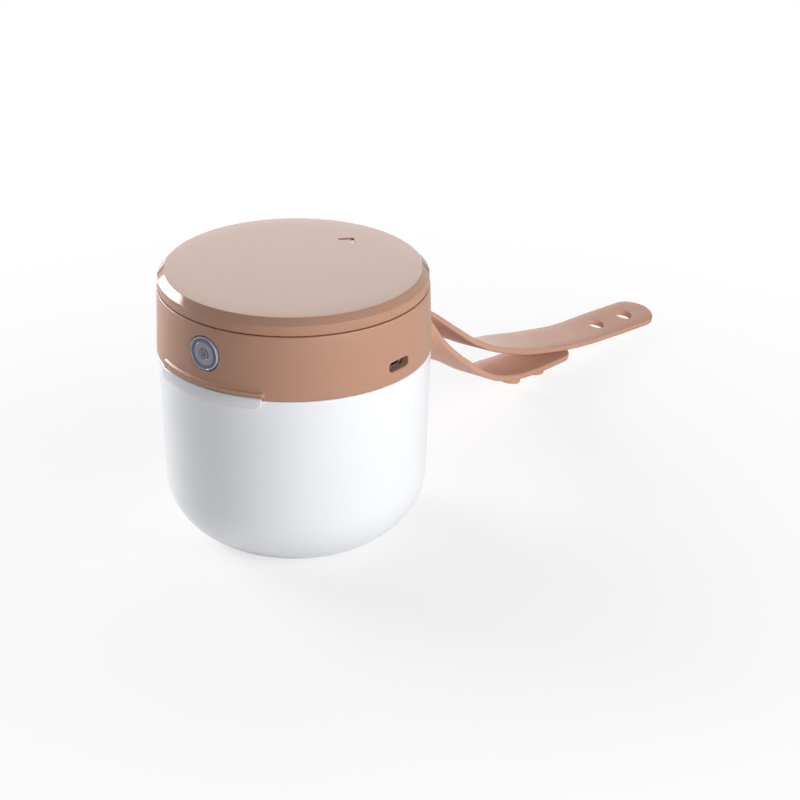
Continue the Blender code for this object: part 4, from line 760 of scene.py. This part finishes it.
pad = turned_piece("foot_pad", [
    (0, 0.25, 0), (6, 0.25, 0.1), (6.6, 0, 0.1), (12, 0, 0.1), (12.6, 0.25, 0.1), (15, 0.25, 0.1),
    (15.6, 0, 0.1), (21.96, 0, 0.45), (21.96, 1.3, 0.15), (0, 1.3, 0),
])
hang(pad, grey_rubber, "grey_rubber", "cup", "base_pad")

hinge_pin = to_object("hinge_pin_rod", on_hinge(-12.3, 12.3, 1.0, 0.25, 32))
hang(hinge_pin, steel, "steel", "cup", "hinge_pin")
strap_pin = to_object("strap_pin_rod", rod((0, LUG_Y, EAR_BOTTOMS[0]), (0, LUG_Y, 55.5), 1.5, 0.3, 32))
hang(strap_pin, steel, "steel", "cup", "strap_pin")

# %% [markdown]
# ## Inside the cup
#
# A bright metal liner throws the lamps' light back at the soothers, which lie on a clear rack. A clear ring
# holds the liner down. Its finger tab comes up through the seam and hangs over the front of the cup.

# %% Liner and rack
FLANGE = 38.15
section = [(FLANGE, 54.7, 0.3), (FLANGE, 53.9, 0.3)]
section += plain(wall(2.5, 53.9) + corner(2.5, 3.7) + [(0, 3.7), (0, 4.5)])
section += plain(reversed(wall(3.3, 54.7) + corner(3.3, 4.5)))
liner = turned_piece("liner_bowl", section)
hang(liner, liner_metal, "liner_metal", "cup", "inner_liner")

RACK_RADIUS = 30.05
rack = turned_piece("rack_tray", [
    (0, 9.6, 0), (RACK_RADIUS, 9.6, 0.5), (RACK_RADIUS, 14.0, 0.5), (28.65, 14.0, 0.5), (28.65, 11.2, 0.4),
    (0, 11.2, 0),
], 144)
for foot in range(4):
    place = round_point(18.0, 90 * foot + 22.5, 4.8)
    carve(rack, rod(place, (place.x, place.y, 10.4), 1.8, 0.4, 32), "UNION")


def slot_shape(start, end, width, bottom, top, turn):
    """A slot with round ends, which runs outward from the axis."""
    half = width / 2
    ring = []
    for centre, first in ((end - half, -90), (start + half, 90)):
        for angle in spread(first, first + 180, 12):
            ring.append(Vector((centre, 0, 0)) + round_point(half, angle, 0))
    shape = loft([[point + Vector((0, 0, height)) for point in ring] for height in (bottom, top)])
    shape.transform(Matrix.Rotation(math.radians(turn), 4, "Z"))
    return shape


for index in range(8):
    carve(rack, slot_shape(9.0, 25.55, 3.6, 9.0, 12.0, 45 * index + 1.3))
hang(rack, clear_plastic, "clear_plastic", "cup", "soother_rack")

# %% Clear ring and its finger tab
TAB_HALF = 26.5
TAB_ROUND = 1.6
TAB_ROUND_ANGLE = 2.3
TAB_OUTER = 41.15
TAB_TOP = SEAM + 1.05
TAB_BOTTOM = 54.9
ring = turned_piece("mouth_ring", [
    (35.0, 55.0, 0.2), (FLANGE, 55.0, 0.2), (FLANGE, 57.0, 0.2), (35.5, 57.0, 0.1), (35.0, 56.5, 0.1),
], 181)


def tab_section(angle):
    """The tab's section: up out of the ring, over the cup's rim and down its face, round at both ends."""
    side_gap = math.radians(TAB_HALF - abs(angle + 90)) * CUP_RADIUS
    inside = max(TAB_ROUND - side_gap, 0)
    bottom = TAB_BOTTOM + TAB_ROUND - math.sqrt(max(TAB_ROUND**2 - inside**2, 0))
    return eased([
        (37.05, 56.6, 0), (37.05, TAB_TOP, 0.15), (TAB_OUTER, TAB_TOP, 0.4), (TAB_OUTER, bottom, 0.45),
        (TAB_OUTER - 1, bottom, 0.15), (TAB_OUTER - 1, 57.45, 0), (38.0, 57.45, 0), (38.0, 56.6, 0),
    ])


def tab_angles():
    """Even steps along the tab, with closer ones round its two lower corners."""
    start, end = -90 - TAB_HALF, -90 + TAB_HALF
    round_part = [TAB_ROUND_ANGLE * (1 - math.cos(math.radians(90 * k / 7))) for k in range(7)]
    middle = spread(start + TAB_ROUND_ANGLE, end - TAB_ROUND_ANGLE, 31)
    return [start + part for part in round_part] + middle + [end - part for part in reversed(round_part)]


tab = loft([[round_point(r, angle, z) for r, z in tab_section(angle)] for angle in tab_angles()])
carve(ring, tab, "UNION")
carve(ring, block((-4.3, -37.5, 54.0), (4.3, -35.6, 56.5), 0))
hang(ring, clear_plastic, "clear_plastic", "cup", "rim_ring")

# %% [markdown]
# ## Head
#
# The coloured band carries a finger lip at the front, a round hole for the button, a slot for the charging
# port and a knuckle at the back. The lip flares out of the band in a hollow curve. It is made in the same
# sweep as the band, ring by ring, so that its curve runs into the wall without a join.

# %% Band and lip
LIP_HALF = 27.6
NOTCH_HALF = 26.93
LIP_TOP = SEAM + 3.5
LIP_EDGE = SEAM + 2.5
LIP_BOTTOM = 58.4
LIP_ROOT = 39.88
LIP_ROUND = 1.4
NOTCH_BOTTOM = 58.7


def band_radius(height):
    return POD_RADIUS - 0.4 * (height - BAND_BOTTOM) / (BAND_TOP - BAND_BOTTOM)


def band_section(aside, with_lip, in_notch):
    """The band's section at an angle off the front. It always has the same number of points."""
    side_gap = math.radians(LIP_HALF - aside) * POD_RADIUS
    inside = max(LIP_ROUND - side_gap, 0) / LIP_ROUND
    reach = 0.45 + 0.65 * math.sqrt(max(1 - inside**2, 0))
    bottom = NOTCH_BOTTOM if in_notch else BAND_BOTTOM
    curve = []
    for turn in spread(math.pi / 2, 0, 14):
        height = LIP_TOP - (LIP_TOP - LIP_EDGE) * math.sin(turn)
        radius = band_radius(height)
        if with_lip:
            radius = max(radius, LIP_ROOT + reach * (1 - math.cos(turn)))
        curve.append((radius, height))
    under = bottom if in_notch else LIP_BOTTOM
    edge = [(LIP_ROOT + reach - back, under + rise) for back, rise in ((0.12, 0), (0.03, 0.04), (0, 0.15))]
    if in_notch:
        low = [(radius, bottom) for radius in (39.4, 39.7, 40.0, 40.2)] + edge
    else:
        low = [(39.75, bottom), (39.93, bottom + 0.07), (40.0, bottom + 0.25)]
        plain_wall = [(band_radius(z), z) for z in (58.1, 58.4, 58.5, 58.7)]
        low += [(39.99, under), *edge] if with_lip else plain_wall
    high = [
        (39.6, BAND_TOP, 0.28), (37.6, BAND_TOP, 0.2), (38.0, 62.2, 0), (36.2, 62.2, 0.2), (36.2, 60.9, 0.2),
        (38.0, 60.9, 0), (38.0, bottom + 0.2, 0),
    ]
    return eased(plain([(38.2, bottom)] + low + curve + [(39.8, 67.0), (39.7, 72.0)]) + high)


def band_rings():
    """All the sections round the band, with two at each place where the section jumps."""
    half = [(a, False, False) for a in spread(180, LIP_HALF, 90)]
    half += [(LIP_HALF, True, False), (NOTCH_HALF, True, False), (NOTCH_HALF, True, True)]
    half += [(a, True, True) for a in spread(NOTCH_HALF, 25.4, 8)[1:]]
    half += [(a, True, True) for a in spread(25.4, 0, 22)[1:]]
    turns = [(-90 - a, a, lip, notch) for a, lip, notch in half]
    turns += [(-90 + a, a, lip, notch) for a, lip, notch in reversed(half[1:-1])]
    return turns


rings = []
for angle, aside, lip, notch in band_rings():
    rings.append([round_point(p[0], angle, p[1]) for p in band_section(aside, lip, notch)])
shape = loft(rings, ends=False)
bmesh.ops.remove_doubles(shape, verts=shape.verts, dist=1e-4)
bmesh.ops.dissolve_degenerate(shape, edges=shape.edges, dist=1e-5)
band = to_object("band", shape)
print("band sections:", len(rings))


# %% [markdown]
# Each opening in the band has a small rounded mouth. The cutter is wrapped on the wall: its rings follow the
# round face at set depths, wider near the face, so the mouth is even all round although the wall is curved.

# %% Button hole and port slot
BUTTON_HOLE = 5.3


def mouth_cutter(outline, on_wall, ease, depth):
    """A cutter whose outline grows by ease at the wall's face. outline(grow) gives (u, v) points."""
    layers = [(ease, -1.5), (ease, -0.02)]
    for turn in spread(0, math.pi / 2, 5)[1:]:
        layers.append((ease * (1 - math.sin(turn)), ease * (1 - math.cos(turn))))
    layers.append((0, depth))
    return loft([[on_wall(u, v, deep) for u, v in outline(grow)] for grow, deep in layers])


def on_front(u, v, deep):
    radius = band_radius(v)
    return Vector((u, -math.sqrt(radius**2 - u**2) + deep, v))


def on_right(u, v, deep):
    radius = band_radius(v)
    return Vector((math.sqrt(radius**2 - u**2) - deep, u, v))


def button_outline(grow):
    radius = BUTTON_HOLE + grow
    turns = spread(0.02, math.tau + 0.02, 72)[:-1]
    return [(math.cos(t) * radius, BUTTON_Z + math.sin(t) * radius) for t in turns]


def port_outline(grow):
    width, height, rounding = 4.15 + grow, 1.5 + grow, 1.1 + grow
    points = []
    for index, (side, rise) in enumerate(((1, 1), (-1, 1), (-1, -1), (1, -1))):
        for step in range(7):
            turn = math.radians(90 * index + 15 * step)
            u = side * (width - rounding) + rounding * math.cos(turn)
            v = rise * (height - rounding) + rounding * math.sin(turn)
            points.append((PORT_Y + u, PORT_Z + v))
    return points


carve(band, mouth_cutter(button_outline, on_front, 0.25, 5.0))
carve(band, mouth_cutter(port_outline, on_right, 0.22, 5.0))
carve(band, block((32.8, -5.35, 60.0), (37.5, 3.35, 64.0), 0))
carve(band, web(38.9, 43.2, 57.75, 60.55, 82.2, 97.8), "UNION")
carve(band, on_hinge(-6.0, 6.0), "UNION")
carve(band, hinge_bore())
hang(band, terracotta_plastic, "terracotta_plastic", "head", "head_housing")

# %% [markdown]
# ## Lid disc
#
# The disc on top has a polished chamfer between two small crisp edges, which is where the long highlights of
# the photograph lie. An arrow head near the back is pressed into it, with slightly sloping sides. Four bosses
# under the disc take the screws.

# %% Top cover
COVER_RADIUS = 39.35
COVER_UNDER = 80.06
SKIRT_BOTTOM = 74.85
SCREW_AWAY = 21.92
SCREW_SPOTS = [(sx * SCREW_AWAY, sy * SCREW_AWAY) for sy in (-1, 1) for sx in (-1, 1)]
section = [
    (0, COVER_UNDER, 0), (35.3, COVER_UNDER, 0.2), (35.3, SKIRT_BOTTOM, 0.2), (37.3, SKIRT_BOTTOM, 0.3),
    (37.3, COVER_BOTTOM, 0), (COVER_RADIUS, COVER_BOTTOM, 0.25), (COVER_RADIUS, COVER_SHOULDER, 0.3),
    (COVER_RADIUS - 2.0, COVER_TOP, 0.16),
]
section += plain([(radius, COVER_TOP) for radius in (32, 26, 20, 14, 8, 3, 0)])
cover = to_object("lid_disc", turned(eased(section, 6)))


def arrow_ring(grow, height):
    """The arrow head's outline, grown outward a little."""
    g = grow * 1.4
    outline = [
        (0, 27.8 + g), (-3.25 - g, 24.55), (-2.5, 23.8 - g),
        (0, 26.3 - g), (2.5, 23.8 - g), (3.25 + g, 24.55),
    ]
    return [Vector((x, y, height)) for x, y in outline]


arrow_layers = ((0, -0.42), (0.06, 0), (0.06, 1))
carve(cover, loft([arrow_ring(grow, COVER_TOP + rise) for grow, rise in arrow_layers]))
for x, y in SCREW_SPOTS:
    carve(cover, rod((x, y, 65.6), (x, y, 80.8), 2.4, 0, 33), "UNION")
hang(cover, lid_plastic, "terracotta_plastic", "head", "top_cover")

# %% [markdown]
# ## Power button
#
# A frosted cap with a thin raised rim, a groove inside it and a dished centre. The circle and the stroke of a
# plain power mark stand up in the dish.

# %% Button cap
BUTTON_FACE = 3.9
BUTTON_BACK = -36.1
button = turned_piece("button_cap", [
    (0, 0, 0), (5.9, 0, 0.15), (5.9, 0.8, 0.15), (5.0, 0.8, 0), (5.0, BUTTON_FACE, 0.12),
    (4.72, BUTTON_FACE, 0.1), (4.5, BUTTON_FACE - 0.32, 0.12), (3.5, BUTTON_FACE - 0.2, 0.15),
    (3.3, BUTTON_FACE - 0.05, 0.1), (1.95, BUTTON_FACE - 0.05, 0.08), (1.8, BUTTON_FACE - 0.2, 0.08),
    (0, BUTTON_FACE - 0.2, 0),
], 121)


def mark_arc(radius, half_width, gap, bottom, top, steps=29):
    """A broken circle, open at the top by gap degrees on each side."""
    rings = []
    for turn in spread(math.radians(90 + gap), math.radians(450 - gap), steps):
        way = Vector((math.cos(turn), math.sin(turn), 0))
        inner, outer = way * (radius - half_width), way * (radius + half_width)
        low, high = Vector((0, 0, bottom)), Vector((0, 0, top))
        rings.append([inner + low, outer + low, outer + high, inner + high])
    return loft(rings)


mark_top = BUTTON_FACE - 0.08
mark_root = BUTTON_FACE - 0.6
carve(button, mark_arc(1.2, 0.2, 38, mark_root, mark_top), "UNION")
carve(button, block((-0.19, 0.3, mark_root), (0.19, 1.55, mark_top), 0.03), "UNION")
seat = Matrix.Translation((0, BUTTON_BACK * MM, BUTTON_Z * MM))
button.data.transform(seat @ Matrix.Rotation(math.radians(90), 4, "X"))
hang(button, button_plastic, "frosted_plastic", "button", "power_button")

# %% [markdown]
# ## Strap
#
# One moulded silicone strip goes round the pin and lies back in two ends, which turn flat and fan out a
# little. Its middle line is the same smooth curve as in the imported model, followed in finer steps. The long
# end has two holes and the short end two studs to press into them.

# %% Route of the strap
LONG_ROUTE = (
    (0.030, 0.00, 0.000, 0.0), (0.125, 0.45, 0.105, 41.0), (0.250, 0.49, 0.320, 77.0),
    (0.375, 0.31, 0.555, 89.0), (0.500, 0.94, 0.720, 98.0), (0.625, 1.12, 0.845, 98.0),
    (0.750, 0.84, 0.923, 98.0), (0.875, 0.69, 0.967, 101.0), (1.000, 0.45, 1.000, 101.0),
)
SHORT_ROUTE = (
    (0.045, 0.000, 0.000, 0.0), (0.167, 0.255, 0.225, 57.0), (0.333, 0.265, 0.490, 86.0),
    (0.500, 0.360, 0.735, 93.0), (0.667, 0.715, 0.875, 99.0), (0.833, 0.930, 0.960, 99.0),
    (1.000, 1.000, 1.000, 98.0),
)
LOOP_RADIUS = 2.8


def smooth_rows(rows, steps):
    """Points at even steps on a smooth curve through rows of numbers, which starts along Y."""
    before_first = (rows[1][0], 2 * rows[0][1] - rows[1][1], *rows[1][2:])
    after_last = [2 * end - before for end, before in zip(rows[-1], rows[-2])]
    held = [before_first, *rows, after_last]
    points = []
    for step in range(steps + 1):
        place = step / steps * (len(rows) - 1)
        index = min(int(place), len(rows) - 2)
        t = place - index
        point = []
        for before, start, end, after in zip(*held[index:index + 4]):
            square = 2 * before - 5 * start + 4 * end - after
            cube = 3 * (start - end) + after - before
            point.append(start + (end - before + square * t + cube * t * t) * t / 2)
        points.append(point)
    return points


def strap_line(route, side, reach, drift, end_height, steps):
    """Centre points and twists of one end, from the pin to the centre of its round tip."""
    start_x = side * LOOP_RADIUS
    rows = []
    for along, aside, down, twist in route:
        height = STRAP_Z - (STRAP_Z - end_height) * down
        rows.append((start_x - drift * aside, LUG_Y + reach * along, height, math.radians(twist)))
    rows = smooth_rows(rows, steps)
    lead = [Vector((start_x, LUG_Y, STRAP_Z)).lerp(Vector(rows[0][:3]), t) for t in (0, 0.5)]
    return lead + [Vector(row[:3]) for row in rows], [0.0, 0.0] + [row[3] for row in rows]


# %% Section and frames of the strap
STRAP_HALF = 7.1
STRAP_THICK = 1.0
STRAP_EDGE = 0.6


def strap_ring(centre, across, through, half):
    """The strip's section: flat faces and rounded long edges."""
    edge = min(STRAP_EDGE, half * 0.6)
    points = []
    for index, (side, face) in enumerate(((1, 1), (-1, 1), (-1, -1), (1, -1))):
        for step in range(5):
            turn = math.radians(90 * index + 22.5 * step)
            a = side * (half - edge) + edge * math.cos(turn)
            b = face * (STRAP_THICK - STRAP_EDGE) + STRAP_EDGE * math.sin(turn)
            points.append(centre + across * a + through * b)
        if side != (1, -1, -1, 1)[(index + 1) % 4]:
            for share in (0.25, 0.5, 0.75):
                a = side * (half - edge) * (1 - 2 * share)
                points.append(centre + across * a + through * face * STRAP_THICK)
    return points


def strap_frames(centres, twists):
    """Along, across and through directions at each point of one end."""
    frames = []
    for index, twist in enumerate(twists):
        on = centres[min(index + 1, len(centres) - 1)]
        back = centres[max(index - 1, 0)]
        along = (on - back).normalized()
        aside = along.cross(Vector((0, 0, 1))).normalized()
        upright = aside.cross(along)
        across = upright * math.cos(twist) + aside * math.sin(twist)
        frames.append((along, across, along.cross(across)))
    return frames


def end_rings(centres, twists, flip, tip_steps=18):
    """Sections along one end and round its tip."""
    frames = strap_frames(centres, twists)
    rings = [strap_ring(c, f[1], f[2] * flip, STRAP_HALF) for c, f in zip(centres, frames)]
    along, across, through = frames[-1]
    for step in range(1, tip_steps + 1):
        turn = math.radians(86.5 * step / tip_steps)
        tip = centres[-1] + along * STRAP_HALF * math.sin(turn)
        rings.append(strap_ring(tip, across, through * flip, STRAP_HALF * math.cos(turn)))
    return rings


def on_strap(centres, frames, from_end):
    """A place on one end, measured back from the centre of its tip, and the direction through it."""
    left = from_end
    for index in range(len(centres) - 1, 0, -1):
        piece = centres[index - 1] - centres[index]
        if piece.length >= left:
            return centres[index] + piece.normalized() * left, frames[index][2]
        left -= piece.length


# %% Strap
HOLE_RADIUS = 2.95
HOLE_SPOTS = (4.6, 19.1)
STUD_SPOTS = (8.0, 22.5)
STUD_SECTION = [(0, 0, 0), (2.6, 0, 0), (2.6, 2.9, 0.2), (4.2, 2.9, 0.25), (4.2, 4.5, 0.5), (0, 4.5, 0)]
long_line, long_twist = strap_line(LONG_ROUTE, -1, reach=137.3, drift=5.1, end_height=4.3, steps=110)
short_line, short_twist = strap_line(SHORT_ROUTE, 1, reach=92.6, drift=10.2, end_height=5.4, steps=84)
middle = Vector((0, LUG_Y, STRAP_Z))
loop = []
for turn in spread(0, math.pi, 24)[1:-1]:
    outward = Vector((math.cos(turn), -math.sin(turn), 0))
    loop.append(strap_ring(middle + outward * LOOP_RADIUS, Vector((0, 0, 1)), -outward, STRAP_HALF))
rings = [*reversed(end_rings(short_line, short_twist, -1)), *loop, *end_rings(long_line, long_twist, 1)]
strap = to_object("strap_strip", loft(rings))

long_frames = strap_frames(long_line, long_twist)
for from_end in HOLE_SPOTS:
    place, normal = on_strap(long_line, long_frames, from_end)
    hole = turned(eased([(0, -3, 0), (HOLE_RADIUS, -3, 0), (HOLE_RADIUS, 3, 0), (0, 3, 0)]), 64)
    hole.transform(facing(place, normal))
    carve(strap, hole)

short_frames = strap_frames(short_line, short_twist)
for from_end in STUD_SPOTS:
    place, normal = on_strap(short_line, short_frames, from_end)
    down = normal if normal.z < 0 else -normal
    stud = turned(eased(STUD_SECTION), 49)
    stud.transform(facing(place, down))
    carve(strap, stud, "UNION")
hang(strap, terracotta_silicone, "terracotta_silicone", "strap", "strap", sharp=40)

# %% [markdown]
# ## Under the head
#
# With the head open, its floor shows: a white plate with a groove for the seal, four screws in counterbores
# and a quartz window, with the reflector and the two lamps behind it.

# %% Head floor, seal and window
FLOOR_BOTTOM = 58.8
FLOOR_TOP = 60.6
floor_plate = turned_piece("floor_plate", [
    (11.0, FLOOR_BOTTOM, 0.3), (34.9, FLOOR_BOTTOM, 0.15), (34.9, 60.0, 0), (37.0, 60.0, 0),
    (37.0, FLOOR_BOTTOM, 0.1), (37.7, FLOOR_BOTTOM, 0.2), (37.7, FLOOR_TOP, 0.2), (14.3, FLOOR_TOP, 0),
    (14.3, 62.4, 0.2), (13.3, 62.4, 0.2), (13.3, FLOOR_TOP, 0), (11.0, FLOOR_TOP, 0.1),
], 144)
for x, y in SCREW_SPOTS:
    carve(floor_plate, rod((x, y, 59.8), (x, y, 63.8), 2.8, 0.2, 33), "UNION")
for x, y in SCREW_SPOTS:
    carve(floor_plate, rod((x, y, 57.8), (x, y, 64.8), 1.2, 0, 33))
    carve(floor_plate, rod((x, y, 57.8), (x, y, 60.5), 2.1, 0, 33))
hang(floor_plate, white_plastic, "white_plastic", "head", "head_floor")

seal = turned_piece("seal_ring", [
    (35.2, 59.7, 0.1), (35.2, 58.2, 0.15), (35.5, 57.3, 0.2), (36.1, 57.5, 0.15), (36.6, 57.3, 0.2),
    (36.7, 58.2, 0.15), (36.7, 59.7, 0.1),
], 144)
hang(seal, seal_rubber, "grey_rubber", "head", "lid_seal")

window = turned_piece(
    "window_disc", [(0, 60.9, 0), (13.0, 60.9, 0.25), (13.0, 62.3, 0.25), (0, 62.3, 0)], 96)
hang(window, window_glass, "window_glass", "head", "uv_window")

# %% Screws
SCREW_SECTION = [
    (0, 59.75, 0), (0.7, 59.75, 0), (0.7, 59.1, 0.05), (1.8, 59.1, 0.35), (1.8, 60.2, 0.1), (0.9, 60.2, 0),
    (0.9, 71.2, 0), (0.4, 71.7, 0), (0, 71.7, 0),
]
for index, (x, y) in enumerate(SCREW_SPOTS):
    shape = turned(eased(SCREW_SECTION), 48)
    shape.transform(Matrix.Translation((x, y, 0)))
    screw = to_object(f"screw_{index + 1}", shape)
    hang(screw, steel, "steel", "head", f"head_screw_{index + 1}")

# %% [markdown]
# ## Charging port
#
# A folded metal shell with slanted lower corners, and a black tongue in it.

# %% Port shell and tongue
def port_ring(inset, at):
    side, rise, slant = 3.75 - inset, 1.25 - inset, 0.7
    ring = eased([
        (-side, rise, 0.25), (-side, slant - rise, 0.2), (slant - side, -rise, 0.2),
        (side - slant, -rise, 0.2), (side, slant - rise, 0.2), (side, rise, 0.25),
    ], 3)
    return [Vector((at, PORT_Y + p[0], PORT_Z + p[1])) for p in ring]


SHELL_RINGS = ((0, 31.6), (0, 37.1), (0.08, 37.2), (0.27, 37.2), (0.35, 37.1), (0.35, 32.0))
shell = to_object("port_shell", loft([port_ring(inset, at) for inset, at in SHELL_RINGS]))
# Painted shade: the shell is nickel, darkened in colour to stand for the shade inside the slot.
hang(shell, port_metal_painted_shade, "nickel", "head", "usb_shell")

base = loft([port_ring(0.65, 32.25), port_ring(0.65, 33.25)])
tongue = to_object("port_tongue", base)
carve(tongue, block((32.8, PORT_Y - 2.3, PORT_Z - 0.3), (36.4, PORT_Y + 2.3, PORT_Z + 0.3), 0.12), "UNION")
hang(tongue, black_plastic, "black_plastic", "head", "usb_tongue")

# %% [markdown]
# ## Pieces sealed in the head
#
# The boards, the chips, the switch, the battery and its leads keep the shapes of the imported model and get
# finishes. The foam pad on the battery is made again, with rounded edges.

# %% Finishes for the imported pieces
FINISHES = (
    (nickel, "cup_magnet", "head_magnet"),
    (bright_metal, "reflector"),
    (battery_foil, "battery"),
    (lamp_board, "uv_board"),
    (green_board, "main_board", "switch_board"),
    (lamp_body, "uv_led_left", "uv_led_right", "status_led"),
    (black_plastic, "control_chip", "charger_chip", "hall_sensor", "switch_plunger"),
    (dark_plastic, "switch_body", "battery_carrier"),
    (cream_plastic, "battery_plug"),
    (red_insulation, "battery_lead_red"),
    (black_insulation, "battery_lead_black"),
)
for finish, *names in FINISHES:
    for name in names:
        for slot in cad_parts[name].material_slots:
            slot.material = finish
print("finishes on packed pieces:", len(FINISHES))

foam = to_object("foam_pad", block((-14.0, -12.0, 76.8), (14.0, 12.0, 79.75), 0.4, 3))
hang(foam, black_foam, "black_foam", "head", "battery_foam")

# %% [markdown]
# ## Table
#
# The case stands on a plain white table. Close to the case the camera sees a third of the real surface, which
# takes the shadow, under two thirds of plain white. Further out it fades to the white of the background, so
# that no edge of it shows. Light that comes back from the table always comes from the real surface.

# %% Table
shape = bmesh.new()
bmesh.ops.create_circle(shape, cap_ends=True, radius=3000.0, segments=96)
table = to_object("table", shape)
table.location.z = -0.00005
paper = bpy.data.materials.new("white_paper")
paper.use_nodes = True
tree = paper.node_tree
tree.nodes.clear()
axes = own_axes(tree)
far = ramp(tree, distance(tree, axes["X"], axes["Y"]), 0.02, 0.24, 0.66, 1.0)
seen = tree.nodes.new("ShaderNodeLightPath").outputs
matt = add_node(tree, "BsdfDiffuse", Color=(0.93, 0.93, 0.93))
glow = add_node(tree, "Emission", Color=(1, 1, 1), Strength=1.0)
show_mix(tree, maths(tree, "MULTIPLY", far, seen["Is Camera Ray"]), matt, glow, "Material")
table.data.materials.append(paper)
